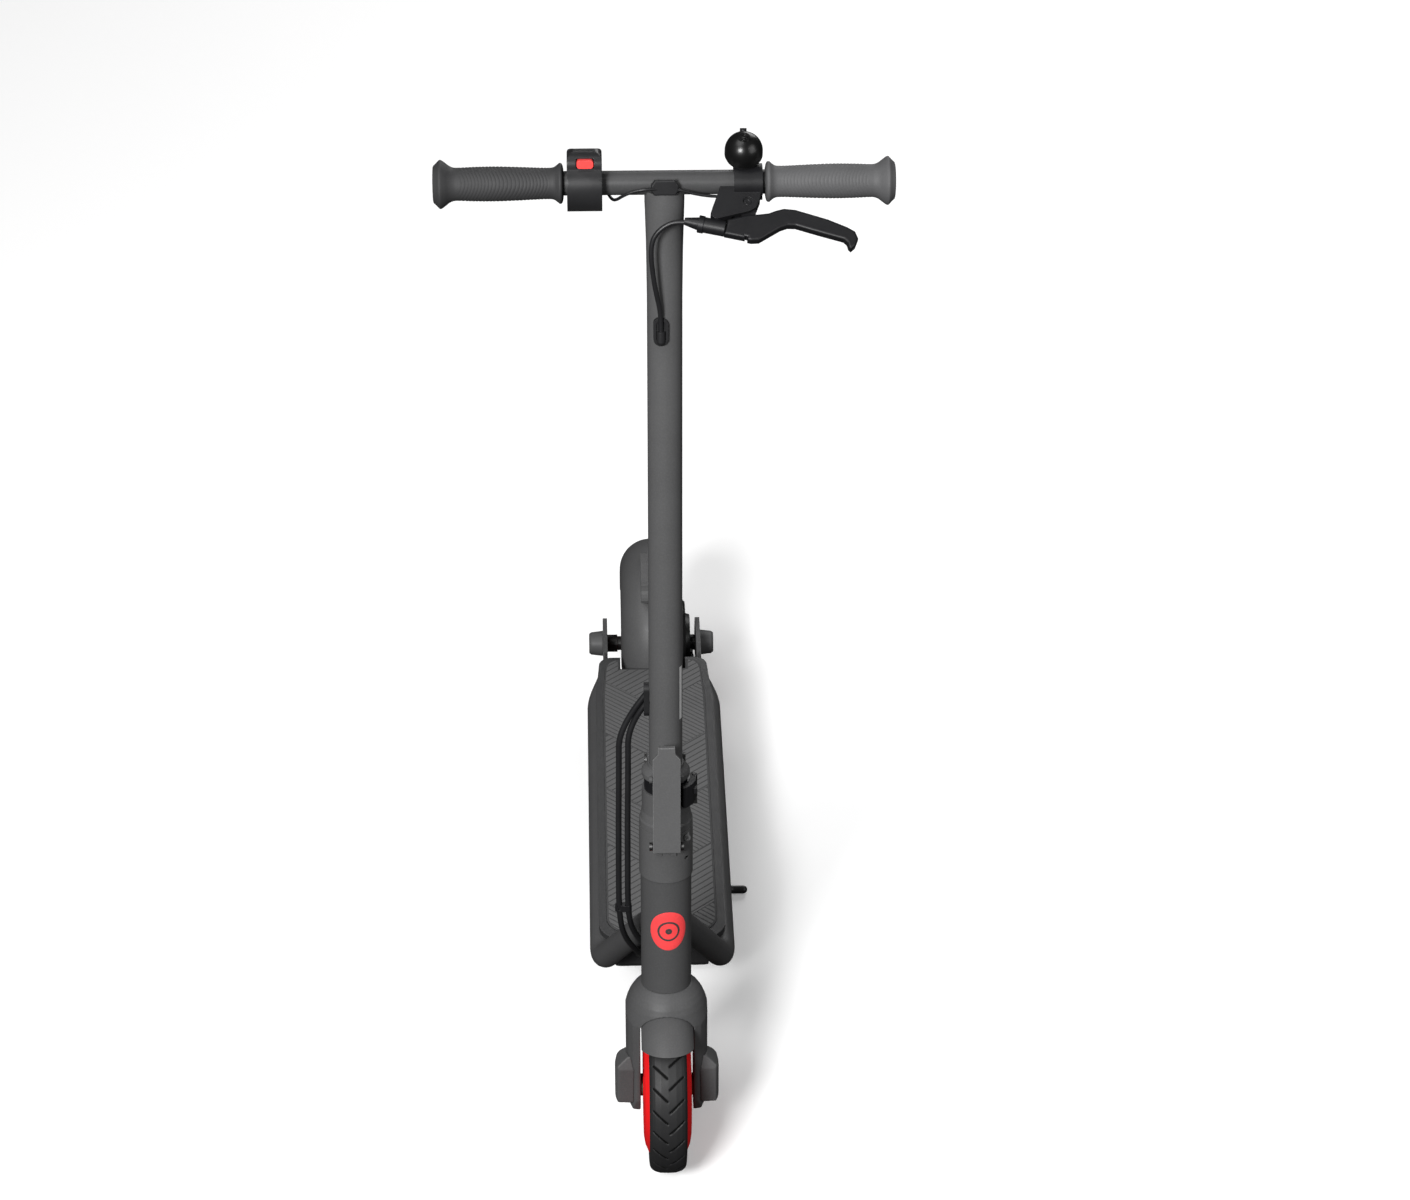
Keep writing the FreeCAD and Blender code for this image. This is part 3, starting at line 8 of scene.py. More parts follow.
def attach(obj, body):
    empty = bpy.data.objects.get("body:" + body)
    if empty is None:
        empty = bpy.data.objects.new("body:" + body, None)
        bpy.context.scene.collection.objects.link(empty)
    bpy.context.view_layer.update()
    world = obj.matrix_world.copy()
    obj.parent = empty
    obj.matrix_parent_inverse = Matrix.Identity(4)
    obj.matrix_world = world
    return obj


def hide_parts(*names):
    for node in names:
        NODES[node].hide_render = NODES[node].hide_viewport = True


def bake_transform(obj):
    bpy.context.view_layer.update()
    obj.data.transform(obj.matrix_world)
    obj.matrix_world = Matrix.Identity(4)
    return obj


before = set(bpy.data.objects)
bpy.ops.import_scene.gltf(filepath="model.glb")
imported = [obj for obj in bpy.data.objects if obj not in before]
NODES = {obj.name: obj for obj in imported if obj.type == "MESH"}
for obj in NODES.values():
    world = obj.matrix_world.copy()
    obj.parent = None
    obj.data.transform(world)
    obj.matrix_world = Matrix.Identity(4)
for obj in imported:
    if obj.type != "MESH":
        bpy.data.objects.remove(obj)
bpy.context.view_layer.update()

# Places are in millimetres here and become metres in the last step.
MM = 0.001
FRONT_Y = -386.0
REAR_Y = 366.0
AXLE_Z = 91.0
AXLE_AHEAD = 15.0
RAKE = math.radians(10)
BAR_T = 980.0
HEAD_R = 25.6
STEM_R = 16.5


def column(x, b, t):
    """A point of the steering column: x across, b back, t up along the steering axis."""
    behind = b + AXLE_AHEAD
    y = FRONT_Y + math.cos(RAKE) * behind + math.sin(RAKE) * t
    z = AXLE_Z - math.sin(RAKE) * behind + math.cos(RAKE) * t
    return Vector((x, y, z)) * MM


def column_matrix(t):
    """The column's frame at height t: x across, y back and z up along the steering axis."""
    return Matrix.Translation(column(0, 0, t)) @ Matrix.Rotation(-RAKE, 4, "X")


# ---------------------------------------------------------------- camera, floor and light


def make_camera():
    data = bpy.data.cameras.new("camera")
    data.lens = 85.8
    data.sensor_width = 36.0
    data.clip_start = 0.1
    data.clip_end = 50.0
    camera = bpy.data.objects.new("camera", data)
    bpy.context.scene.collection.objects.link(camera)
    ahead = Vector((0.03327, 0.80045, -0.59847)).normalized()
    right = Vector((0.99936, -0.03453, 0.00937)).normalized()
    up = right.cross(ahead).normalized()
    right = ahead.cross(up)
    turn = Matrix((right, up, -ahead)).transposed().to_4x4()
    camera.matrix_world = Matrix.Translation((-0.06977, -2.87655, 2.57903)) @ turn
    bpy.context.scene.camera = camera


def area_light(name, place, target, size, power):
    data = bpy.data.lights.new(name, "AREA")
    data.shape = "SQUARE"
    data.size = size
    data.energy = power
    lamp = bpy.data.objects.new(name, data)
    lamp.location = place
    lamp.rotation_mode = "QUATERNION"
    lamp.rotation_quaternion = (Vector(target) - Vector(place)).to_track_quat("-Z", "Y")
    bpy.context.scene.collection.objects.link(lamp)


def set_range(ramp, limits):
    """Sets a Map Range node's from-low, from-high, to-low and to-high."""
    for index, value in enumerate(limits, start=1):
        ramp.inputs[index].default_value = value


def make_sky(bright_way, dim, bright):
    """An even studio surround that is brightest one way and dimmest the other."""
    world = bpy.data.worlds.new("studio")
    bpy.context.scene.world = world
    world.use_nodes = True
    tree = world.node_tree
    way = tree.nodes.new("ShaderNodeTexCoord")
    dot = tree.nodes.new("ShaderNodeVectorMath")
    dot.operation = "DOT_PRODUCT"
    dot.inputs[1].default_value = Vector(bright_way).normalized()
    tree.links.new(way.outputs["Generated"], dot.inputs[0])
    ramp = tree.nodes.new("ShaderNodeMapRange")
    set_range(ramp, (-0.45, 1.0, dim, bright))
    tree.links.new(dot.outputs["Value"], ramp.inputs[0])
    tree.links.new(ramp.outputs[0], tree.nodes["Background"].inputs["Strength"])


def make_sun(way, energy, spread):
    data = bpy.data.lights.new("sun", "SUN")
    data.energy = energy
    data.angle = math.radians(spread)
    sun = bpy.data.objects.new("sun", data)
    sun.rotation_mode = "QUATERNION"
    sun.rotation_quaternion = Vector(way).to_track_quat("-Z", "Y")
    bpy.context.scene.collection.objects.link(sun)


def make_floor(reach):
    """A plain pale floor. It doesn't light the scooter from below, so the tubes keep their dark sides."""
    data = bpy.data.meshes.new("floor")
    data.from_pydata([(-reach, -reach, 0), (reach, -reach, 0), (reach, reach, 0), (-reach, reach, 0)],
                     [], [(0, 1, 2, 3)])
    floor = bpy.data.objects.new("floor", data)
    bpy.context.scene.collection.objects.link(floor)
    floor.visible_diffuse = False
    floor.visible_glossy = False
    material = bpy.data.materials.new("floor")
    material.use_nodes = True
    shader = material.node_tree.nodes["Principled BSDF"]
    shader.inputs["Base Color"].default_value = (0.90, 0.90, 0.90, 1)
    shader.inputs["Roughness"].default_value = 0.9
    shader.inputs["Emission Color"].default_value = (1, 1, 1, 1)
    shader.inputs["Emission Strength"].default_value = 0.16
    data.materials.append(material)


def make_stage():
    make_sky((-0.44, -0.62, 0.60), 0.74, 1.50)
    area_light("key", (-1.3, -3.0, 2.6), (0, 0, 0.4), 0.9, 165)
    area_light("fill", (2.4, -1.8, 2.2), (0, 0, 0.3), 2.0, 36)
    area_light("back", (1.2, 3.2, 2.4), (0, 0, 0.4), 2.0, 46)
    make_sun((0.42, 0.22, -1.0), 1.15, 38)
    make_floor(14.0)
    bpy.context.scene.view_settings.view_transform = "Standard"
    bpy.context.scene.view_settings.exposure = 0.0


# ---------------------------------------------------------------- materials


class Shader:
    """A node material built step by step around one Principled shader."""

    def __init__(self, name):
        self.material = bpy.data.materials.new(name)
        self.material.use_nodes = True
        self.tree = self.material.node_tree
        self.bsdf = self.tree.nodes["Principled BSDF"]
        self.place = self.node("ShaderNodeTexCoord").outputs["Object"]

    def node(self, kind, **settings):
        made = self.tree.nodes.new(kind)
        for key, value in settings.items():
            setattr(made, key, value)
        return made

    def link(self, source, target):
        self.tree.links.new(source, target)

    def noise(self, scale, detail=2.0, rough=0.5, stretch=None):
        made = self.node("ShaderNodeTexNoise")
        made.inputs["Scale"].default_value = scale
        made.inputs["Detail"].default_value = detail
        made.inputs["Roughness"].default_value = rough
        source = self.place
        if stretch:
            mapping = self.node("ShaderNodeMapping")
            mapping.inputs["Scale"].default_value = stretch
            self.link(self.place, mapping.inputs["Vector"])
            source = mapping.outputs["Vector"]
        self.link(source, made.inputs["Vector"])
        return made.outputs["Fac"]

    def remap(self, source, low, high, to_low, to_high):
        made = self.node("ShaderNodeMapRange")
        set_range(made, (low, high, to_low, to_high))
        self.link(source, made.inputs[0])
        return made.outputs[0]

    def mix(self, factor, first, second):
        made = self.node("ShaderNodeMix", data_type="RGBA")
        self.link(factor, made.inputs["Factor"])
        for socket, value in ((made.inputs[6], first), (made.inputs[7], second)):
            if isinstance(value, tuple):
                socket.default_value = value + (1.0,)
            else:
                self.link(value, socket)
        return made.outputs[2]

    def multiply(self, first, second):
        made = self.node("ShaderNodeMath", operation="MULTIPLY")
        self.link(first, made.inputs[0])
        self.link(second, made.inputs[1])
        return made.outputs[0]

    def bump(self, height, distance, under):
        made = self.node("ShaderNodeBump")
        made.inputs["Strength"].default_value = 1.0
        made.inputs["Distance"].default_value = distance
        self.link(height, made.inputs["Height"])
        self.link(under, made.inputs["Normal"])
        return made.outputs["Normal"]

    def agreement(self, normal):
        """How closely the softened normal follows the true one: 1 on flat ground, less near an edge."""
        shape = self.node("ShaderNodeNewGeometry")
        made = self.node("ShaderNodeVectorMath", operation="DOT_PRODUCT")
        self.link(normal, made.inputs[0])
        self.link(shape.outputs["Normal"], made.inputs[1])
        return made.outputs["Value"]

    def soft_edges(self, radius):
        made = self.node("ShaderNodeBevel", samples=6)
        made.inputs["Radius"].default_value = radius
        return made.outputs["Normal"]


def tint(color, amount):
    return tuple(min(1.0, max(0.0, channel * amount)) for channel in color)


def surface(name, color, rough, grain=2200.0, depth=0.00006, vary=0.10, wear=1.6, metal=0.0, coat=0.0,
            edge=0.0004, spec=0.5, stretch=None, wear_limit=0.5, rough_vary=0.07):
    """A surface with fine grain, patchy tone, worn edges and uneven gloss."""
    s = Shader(name)
    patches = s.remap(s.noise(14.0, 4.0, 0.6), 0.35, 0.65, 0.0, 1.0)
    tone = s.mix(patches, tint(color, 1.0 - vary), tint(color, 1.0 + vary))
    speckle = s.remap(s.noise(grain * 0.45, 2.0), 0.42, 0.68, 0.0, 0.30)
    tone = s.mix(speckle, tone, tint(color, 1.35))
    scuffs = s.remap(s.noise(160.0, 5.0, 0.65), 0.40, 0.70, 0.35, 1.0)
    soft = s.soft_edges(edge)
    rim = s.remap(s.agreement(soft), 0.86, 0.995, wear_limit, 0.0)
    tone = s.mix(s.multiply(rim, scuffs), tone, tint(color, wear))
    s.link(tone, s.bsdf.inputs["Base Color"])
    gloss = s.remap(s.noise(45.0, 4.0, 0.6), 0.3, 0.7, rough - rough_vary, rough + rough_vary)
    s.link(gloss, s.bsdf.inputs["Roughness"])
    fine = s.bump(s.noise(grain, 2.0, 0.6, stretch), depth, soft)
    s.link(fine, s.bsdf.inputs["Normal"])
    s.bsdf.inputs["Metallic"].default_value = metal
    s.bsdf.inputs["Specular IOR Level"].default_value = spec
    s.bsdf.inputs["Coat Weight"].default_value = coat
    s.bsdf.inputs["Coat Roughness"].default_value = 0.25
    return s.material


M = {}


def make_materials():
    """Each call gives name, colour, roughness, grain, grain depth, tone variation and edge wear."""
    M["frame"] = surface("frame_paint", (0.062, 0.062, 0.063), 0.42, 1500, 0.00008, 0.05, 1.4, spec=0.22)
    M["stem"] = surface("stem_paint", (0.078, 0.078, 0.079), 0.36, 1500, 0.00005, 0.05, 1.4, spec=0.28)
    M["bar"] = surface("bar_paint", (0.055, 0.055, 0.056), 0.36, 1500, 0.00005, 0.05, 1.4, spec=0.28)
    M["deck"] = surface("deck_edge", (0.028, 0.028, 0.029), 0.46, 1400, 0.00006, 0.06, 1.6, spec=0.35)
    M["fork"] = surface("fork_casting", (0.068, 0.068, 0.069), 0.50, 1300, 0.00005, 0.05, 1.3,
                        edge=0.0012, spec=0.22)
    M["cover"] = surface("cover_plastic", (0.071, 0.071, 0.072), 0.48, 1300, 0.00004, 0.05, 1.3,
                         edge=0.0014, spec=0.22)
    M["fender"] = surface("fender_plastic", (0.074, 0.074, 0.075), 0.46, 1500, 0.00009, 0.05, 1.3,
                          edge=0.0006, spec=0.22)
    M["black"] = surface("black_plastic", (0.008, 0.008, 0.009), 0.42, 1600, 0.00005, 0.10, 2.6,
                         edge=0.0007, spec=0.30)
    M["gloss_black"] = surface("bell_shell", (0.004, 0.004, 0.004), 0.30, 600, 0.00001, 0.10, 2.0,
                               coat=0.10, edge=0.0008, rough_vary=0.05, spec=0.35)
    M["pod"] = surface("pod_plastic", (0.017, 0.017, 0.018), 0.32, 1500, 0.00004, 0.08, 1.7,
                       edge=0.0016, spec=0.35)
    # The two grips are one rubber in lit and shaded copies: the rider's right grip is painted darker as
    # painted shade, the left one lighter as painted light.
    M["grip_painted_shade"] = surface("grip_rubber_right_painted_shade", (0.034, 0.034, 0.035), 0.62, 1800, 0.00006, 0.06, 1.3,
                             spec=0.3)
    M["grip_painted_lit"] = surface("grip_rubber_left_painted_lit", (0.083, 0.083, 0.085), 0.62, 1800, 0.00006, 0.06, 1.2,
                              spec=0.3)
    M["mat"] = surface("mat_rubber", (0.086, 0.086, 0.087), 0.70, 1700, 0.00008, 0.06, 1.2,
                       edge=0.0002, spec=0.3)
    # The mat's base between and around the ribs is the same rubber painted darker, as painted shade in the
    # grooves.
    M["mat_base"] = surface("mat_grooves", (0.050, 0.050, 0.051), 0.80, 1700, 0.00008, 0.06, 1.2,
                            edge=0.0002, spec=0.2)
    M["cord"] = surface("cord_jacket", (0.011, 0.011, 0.012), 0.42, 900, 0.00004, 0.10, 1.5, spec=0.35)
    M["rubber"] = surface("gland_rubber", (0.012, 0.012, 0.013), 0.52, 1500, 0.00006, 0.10, 1.6,
                          edge=0.0006, spec=0.3)
    M["tyre"] = surface("tyre_rubber", (0.0150, 0.0150, 0.0155), 0.55, 1300, 0.00008, 0.12, 1.8,
                        edge=0.0004, spec=0.3)
    # Tread grooves: the tyre rubber painted near black, as painted shade in the recesses where little light
    # reaches.
    M["groove"] = surface("tread_groove", (0.002, 0.002, 0.002), 0.75, 1300, 0.00004, 0.12, 1.5,
                          edge=0.0002, spec=0.1)
    M["red_rim"] = surface("rim_paint", (0.84, 0.012, 0.014), 0.50, 700, 0.00002, 0.05, 1.1,
                           edge=0.0008, spec=0.12)
    M["red_button"] = surface("button_plastic", (0.86, 0.060, 0.055), 0.42, 900, 0.00002, 0.03, 1.1,
                              edge=0.0008)
    M["badge"] = surface("badge_enamel", (0.84, 0.062, 0.066), 0.46, 900, 0.00002, 0.03, 1.1,
                         edge=0.0002, spec=0.2)
    M["badge_mark"] = surface("badge_line", (0.045, 0.040, 0.040), 0.5, 900, 0.00002, 0.05, 1.2,
                              edge=0.0001)
    M["stripe"] = surface("stripe_paint", (0.55, 0.55, 0.55), 0.5, 900, 0.00002, 0.04, 1.0, edge=0.0001)
    M["latch"] = surface("latch_alloy", (0.094, 0.094, 0.095), 0.42, 1400, 0.00003, 0.03, 3.2,
                         edge=0.0012, wear_limit=0.8, spec=0.4)
    M["pin"] = surface("pin_steel", (0.55, 0.55, 0.55), 0.28, 900, 0.00002, 0.08, 1.3,
                       metal=1.0, edge=0.0006)
    M["bolt"] = surface("bolt_steel", (0.11, 0.11, 0.11), 0.35, 900, 0.00002, 0.08, 1.3,
                        metal=1.0, edge=0.0006)
    M["axle"] = surface("axle_zinc", (0.17, 0.15, 0.10), 0.46, 900, 0.00005, 0.15, 1.4,
                        metal=0.4, edge=0.0003)
    M["nut"] = surface("nut_black", (0.010, 0.010, 0.010), 0.40, 900, 0.00004, 0.15, 2.0,
                       edge=0.0004, spec=0.35)
    M["case"] = surface("case_alloy", (0.42, 0.43, 0.44), 0.38, 500, 0.00003, 0.06, 1.3,
                        metal=1.0, stretch=(1, 14, 14))
    M["wrap"] = surface("cell_wrap", (0.035, 0.09, 0.26), 0.35, 260, 0.00012, 0.08, 1.2, coat=0.3)
    M["winding"] = surface("copper_winding", (0.42, 0.17, 0.07), 0.36, 420, 0.00020, 0.15, 1.3,
                           metal=0.9, stretch=(10, 1, 1))


def paint(obj, key):
    obj.data.materials.clear()
    obj.data.materials.append(M[key])


CAD_PAINT = {
    "frame": ["head_tube", "main_tube_left", "main_tube_right", "dropout_left", "dropout_right",
              "stand_bracket"],
    "stem": ["stem_tube", "stem_bracket", "folding_base"],
    "bar": ["handlebar"],
    "deck": ["deck_tray", "deck_cover"],
    "fork": ["fork"],
    "cover": ["fork_cover_left", "fork_cover_right", "axle_caps"],
    "fender": ["rear_fender", "front_fender"],
    "black": ["folding_seat", "safety_catch", "brake_perch", "thumb_lever", "bell_base", "cable_adjuster",
              "charge_port", "cable_tie", "brake_lever", "bell_striker"],
    "gloss_black": ["bell_dome"],
    "pod": ["throttle_housing"],
    "rubber": ["bar_grommet", "stem_grommet", "side_gland", "port_cap"],
    "red_rim": ["front_rim", "rear_hub"],
    "red_button": ["power_button"],
    "latch": ["latch_lever"],
    "pin": ["head_bearings", "front_bearings"],
    "bolt": ["latch_pin", "fold_hinge_pin"],
    "axle": ["front_axle"],
    "nut": ["rear_axle", "brake_plate", "brake_arm", "kickstand"],
    "case": ["motor_controller"],
    "wrap": ["battery_pack"],
    "winding": ["motor_stator"],
}


def paint_cad_nodes():
    for key, names in CAD_PAINT.items():
        for name in names:
            paint(NODES[name], key)


# ---------------------------------------------------------------- mesh helpers


def mesh_object(name, points, faces, key, smooth=True):
    """Points in metres in the row frame."""
    data = bpy.data.meshes.new(name)
    data.from_pydata([tuple(p) for p in points], [], faces)
    data.validate()
    data.polygons.foreach_set("use_smooth", [smooth] * len(data.polygons))
    obj = bpy.data.objects.new(name, data)
    bpy.context.scene.collection.objects.link(obj)
    data.materials.append(M[key])
    return obj


def grid_faces(rows, columns, close_rows=False, close_columns=False):
    faces = []
    for i in range(rows if close_rows else rows - 1):
        for j in range(columns if close_columns else columns - 1):
            a, b = i * columns + j, i * columns + (j + 1) % columns
            c, d = ((i + 1) % rows) * columns + (j + 1) % columns, ((i + 1) % rows) * columns + j
            faces.append((a, b, c, d))
    return faces


def place_points(points, matrix):
    """Millimetre points in a local frame to metres in the row frame."""
    turn = np.array(matrix.to_3x3())
    return np.asarray(points) * MM @ turn.T + np.array(matrix.translation)


def resample(profile, step):
    """A polyline with extra points so that no stretch is longer than step."""
    out = [profile[0]]
    for first, second in zip(profile, profile[1:]):
        length = math.dist(first, second)
        count = max(1, math.ceil(length / step))
        for k in range(1, count + 1):
            out.append(tuple(a + (b - a) * k / count for a, b in zip(first, second)))
    return np.array(out)


def smooth_curve(points, per_span=8):
    """A Catmull-Rom curve through 2-D points."""
    p = np.array([points[0], *points, points[-1]], float)
    out = []
    for i in range(1, len(p) - 2):
        for k in range(per_span):
            u = k / per_span
            out.append(0.5 * (2 * p[i] + (p[i + 1] - p[i - 1]) * u
                              + (2 * p[i - 1] - 5 * p[i] + 4 * p[i + 1] - p[i + 2]) * u * u
                              + (3 * p[i] - p[i - 1] - 3 * p[i + 1] + p[i + 2]) * u ** 3))
    out.append(p[-2])
    return np.array(out)


# ---------------------------------------------------------------- tyres


def tread_depth(x, along, pitch):
    """Depth in mm of the slanted grooves at x across and a distance along the tyre."""
    inner, outer = 1.2, 15.2
    start, end = 0.22 * pitch, 0.78 * pitch
    half_width, bottom, slant = 1.3, 1.3, 0.5
    depth = np.zeros_like(x)
    for side, shift in ((-1, 0.0), (1, 0.5)):
        local = (along / pitch + shift) % 1.0 * pitch
        for wrap in (-pitch, 0, pitch):
            ax, ay = side * inner, start + wrap
            bx, by = side * outer, end + wrap
            dx, dy = bx - ax, by - ay
            share = np.clip(((x - ax) * dx + (local - ay) * dy) / (dx * dx + dy * dy), 0, 1)
            away = np.hypot(x - ax - share * dx, local - ay - share * dy)
            depth = np.maximum(depth, bottom * np.clip((half_width - away) / slant, 0, 1))
    return depth


def make_tyre(name, axle_y, body, node):
    """A treaded tyre about the axle at axle_y, with the grooves cut into its mesh."""
    turns = 24
    crown = [(-16, 64.1), (-16, 70.3), (-18.4, 71.6), (-19.2, 77.0), (-19.3, 79.5), (-18.9, 83.0),
             (-17.9, 85.4), (-16.3, 87.2), (-13.6, 89.0), (-8, 90.7), (0, AXLE_Z)]
    profile = resample(crown, 0.62)
    profile = np.vstack([profile, profile[-2::-1] * [-1, 1]])
    steps = turns * 38
    angles = np.arange(steps) * 2 * math.pi / steps
    x = np.broadcast_to(profile[:, 0], (steps, len(profile)))
    r = np.broadcast_to(profile[:, 1], (steps, len(profile))).copy()
    along = np.broadcast_to((-angles * AXLE_Z)[:, None], x.shape)
    depth = tread_depth(x, along, 2 * math.pi * AXLE_Z / turns)
    r -= depth
    points = np.stack([x, r * np.cos(angles)[:, None], r * np.sin(angles)[:, None]], axis=-1).reshape(-1, 3)
    faces = grid_faces(steps, len(profile), close_rows=True, close_columns=True)
    place = Matrix.Translation(Vector((0, axle_y, AXLE_Z)) * MM)
    obj = mesh_object(name, place_points(points, place), faces, "tyre")
    # Faces deep in the grooves take the near-black material: painted shade in the tread recesses.
    obj.data.materials.append(M["groove"])
    groove_floor = 0.75
    shaded_groove_points = depth.reshape(-1) > groove_floor
    flags = [1 if sum(shaded_groove_points[i] for i in face) >= 3 else 0 for face in faces]
    obj.data.polygons.foreach_set("material_index", flags)
    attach(obj, body)
    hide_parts(node)


# ---------------------------------------------------------------- grips


def make_grip(name, side, key, node):
    """A grip turned about the bar, with wavy ripples cut into its middle."""
    outline = [(91.7, 11.3), (91.7, 13.0), (92.4, 16.4), (93.6, 18.2), (95.4, 18.4), (97.4, 16.8),
               (100, 15.0), (104, 14.2), (116, 14.5), (135, 15.3), (154, 15.8), (172, 15.6), (186, 15.0),
               (191, 15.1), (195, 16.6), (199, 19.6), (202, 21.7), (203.6, 22.2), (204.8, 21.6),
               (207.4, 18.9), (209.6, 16.9), (210, 15.8), (210, 0.05)]
    curve = smooth_curve(outline[:-2], 6)
    curve = np.vstack([resample([tuple(p) for p in curve], 0.45), outline[-2:]])
    steps = 150
    angles = np.arange(steps) * 2 * math.pi / steps
    x = np.broadcast_to(curve[:, 0], (steps, len(curve)))
    r = np.broadcast_to(curve[:, 1], (steps, len(curve))).copy()
    sweep = np.broadcast_to(angles[:, None], x.shape)
    pitch, ribs_from, ribs_to, fade, ripple_depth = 3.3, 103, 188, 6, 0.34
    wave = x / pitch + 1.15 * np.cos(2 * sweep + 0.7) + 0.25 * np.sin(x / 9.0)
    edge = np.clip((x - ribs_from) / fade, 0, 1) * np.clip((ribs_to - x) / fade, 0, 1)
    r -= ripple_depth * edge * np.clip(np.cos(2 * math.pi * wave) * 1.6 - 0.5, 0, 1)
    points = np.stack([side * x, r * np.cos(sweep), r * np.sin(sweep)], axis=-1).reshape(-1, 3)
    faces = grid_faces(steps, len(curve), close_rows=True)
    if side < 0:
        faces = [f[::-1] for f in faces]
    obj = mesh_object(name, place_points(points, column_matrix(BAR_T)), faces, key)
    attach(obj, "stem")
    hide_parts(node)


# ---------------------------------------------------------------- deck mat


def clip(polygon, point, normal):
    """The part of a convex polygon on the side of a line that its normal points to."""
    out = []
    for i, here in enumerate(polygon):
        after = polygon[(i + 1) % len(polygon)]
        d0 = (here[0] - point[0]) * normal[0] + (here[1] - point[1]) * normal[1]
        d1 = (after[0] - point[0]) * normal[0] + (after[1] - point[1]) * normal[1]
        if d0 >= 0:
            out.append(here)
        if (d0 < 0) != (d1 < 0):
            share = d0 / (d0 - d1)
            out.append((here[0] + (after[0] - here[0]) * share, here[1] + (after[1] - here[1]) * share))
    return out


def arc_points(cx, cy, radius, start, end, count=8):
    angles = [math.radians(start + (end - start) * k / count) for k in range(count + 1)]
    return [(cx + radius * math.cos(a), cy + radius * math.sin(a)) for a in angles]


MAT_HALF, MAT_REAR_HALF = 59.5, 56.0
MAT_FRONT, MAT_TAPER, MAT_REAR = 188.7, 596.7, 666.7
MAT_NOSE_R, MAT_TAIL_R = 24.0, 15.0
NOTCH_HALF, NOTCH_Y = 39.5, 648.5
MAT_BOTTOM, MAT_FACE, RIB_TOP = 128.6, 131.45, 132.0


def mat_outline(inset):
    """The mat's plan, anticlockwise, y from the front axle; the rear notch lets the fender in."""
    half, nose = MAT_HALF - inset, MAT_NOSE_R - inset
    front, rear = MAT_FRONT + inset, MAT_REAR - inset
    tail, half_rear = MAT_TAIL_R - inset, MAT_REAR_HALF - inset
    notch, notch_y = NOTCH_HALF + inset, NOTCH_Y - inset
    right = arc_points(half - nose, front + nose, nose, -90, 0)
    right += [(half, MAT_TAPER)]
    right += arc_points(half_rear - tail, rear - tail, tail, 0, 90)
    right += [(notch, rear), (notch, notch_y)]
    return right + [(-x, y) for x, y in reversed(right)]


def slab(polygon, low, high, points, faces):
    """Adds an upright prism of a plan polygon; millimetres, y from the front axle."""
    start = len(points)
    count = len(polygon)
    for level in (low, high):
        points += [(x * MM, (y + FRONT_Y) * MM, level * MM) for x, y in polygon]
    faces.append(tuple(start + count + i for i in range(count)))
    faces.append(tuple(start + i for i in reversed(range(count))))
    for i in range(count):
        j = (i + 1) % count
        faces.append((start + i, start + j, start + count + j, start + count + i))


def mat_regions():
    """Convex parts of the ribbed area: the body, and the two ears beside the notch."""
    inset = 2.0
    rear = NOTCH_Y - inset
    taper = (MAT_HALF - MAT_REAR_HALF) / (MAT_REAR - MAT_TAPER)
    edge = MAT_HALF - inset - taper * (rear - MAT_TAPER)
    main = [p for p in mat_outline(inset) if p[1] <= MAT_TAPER + 0.1]
    split = len(main) // 2
    main = main[:split] + [(edge, rear), (-edge, rear)] + main[split:]
    tail = MAT_TAIL_R - inset
    corner = arc_points(MAT_REAR_HALF - MAT_TAIL_R, MAT_REAR - MAT_TAIL_R, tail, 0, 90, 5)
    inner = NOTCH_HALF + inset
    ear = [(inner, rear), (edge, rear), *corner, (inner, MAT_REAR - inset)]
    return [main, ear, [(-x, y) for x, y in reversed(ear)]]


def make_mat():
    """A rubber sheet with bands of slanted ribs that mirror about the middle line."""
    points, faces = [], []
    slab(mat_outline(0.0), MAT_BOTTOM, MAT_FACE, points, faces)
    slope, band, band_gap = 0.83, 97.5, 1.0
    gap = 1.5 * math.hypot(1, slope)
    for region in mat_regions():
        for half in (-1, 1):
            part = clip(region, (0, 0), (half, 0))
            for k in range(-2, 6):
                low, high = 188 + band * k, 188 + band * (k + 1)
                rise = slope * half
                strip = clip(part, (0, low + band_gap / 2), (-rise, 1))
                strip = clip(strip, (0, high - band_gap / 2), (rise, -1)) if len(strip) > 2 else strip
                if len(strip) < 3:
                    continue
                lean, pitch = (slope, 9.2) if k % 2 == 0 else (-slope, 7.2)
                first = math.floor((low - 80) / pitch)
                for n in range(first, first + int(260 / pitch) + 2):
                    base = n * pitch
                    rib = clip(strip, (0, base), (-lean, 1))
                    if len(rib) > 2:
                        rib = clip(rib, (0, base + pitch - gap), (lean, -1))
                    if len(rib) > 2:
                        slab(rib, MAT_FACE - 0.05, RIB_TOP, points, faces)
    obj = mesh_object("deck_mat_ribbed", points, faces, "mat", smooth=False)
    # The base faces show between the ribs and take the darker material: painted shade in the grooves.
    obj.data.materials.append(M["mat_base"])
    base_faces = len(mat_outline(0.0)) + 2
    flags = [1] * base_faces + [0] * (len(faces) - base_faces)
    obj.data.polygons.foreach_set("material_index", flags)
    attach(obj, "frame")
    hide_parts("deck_mat")


# ---------------------------------------------------------------- cords


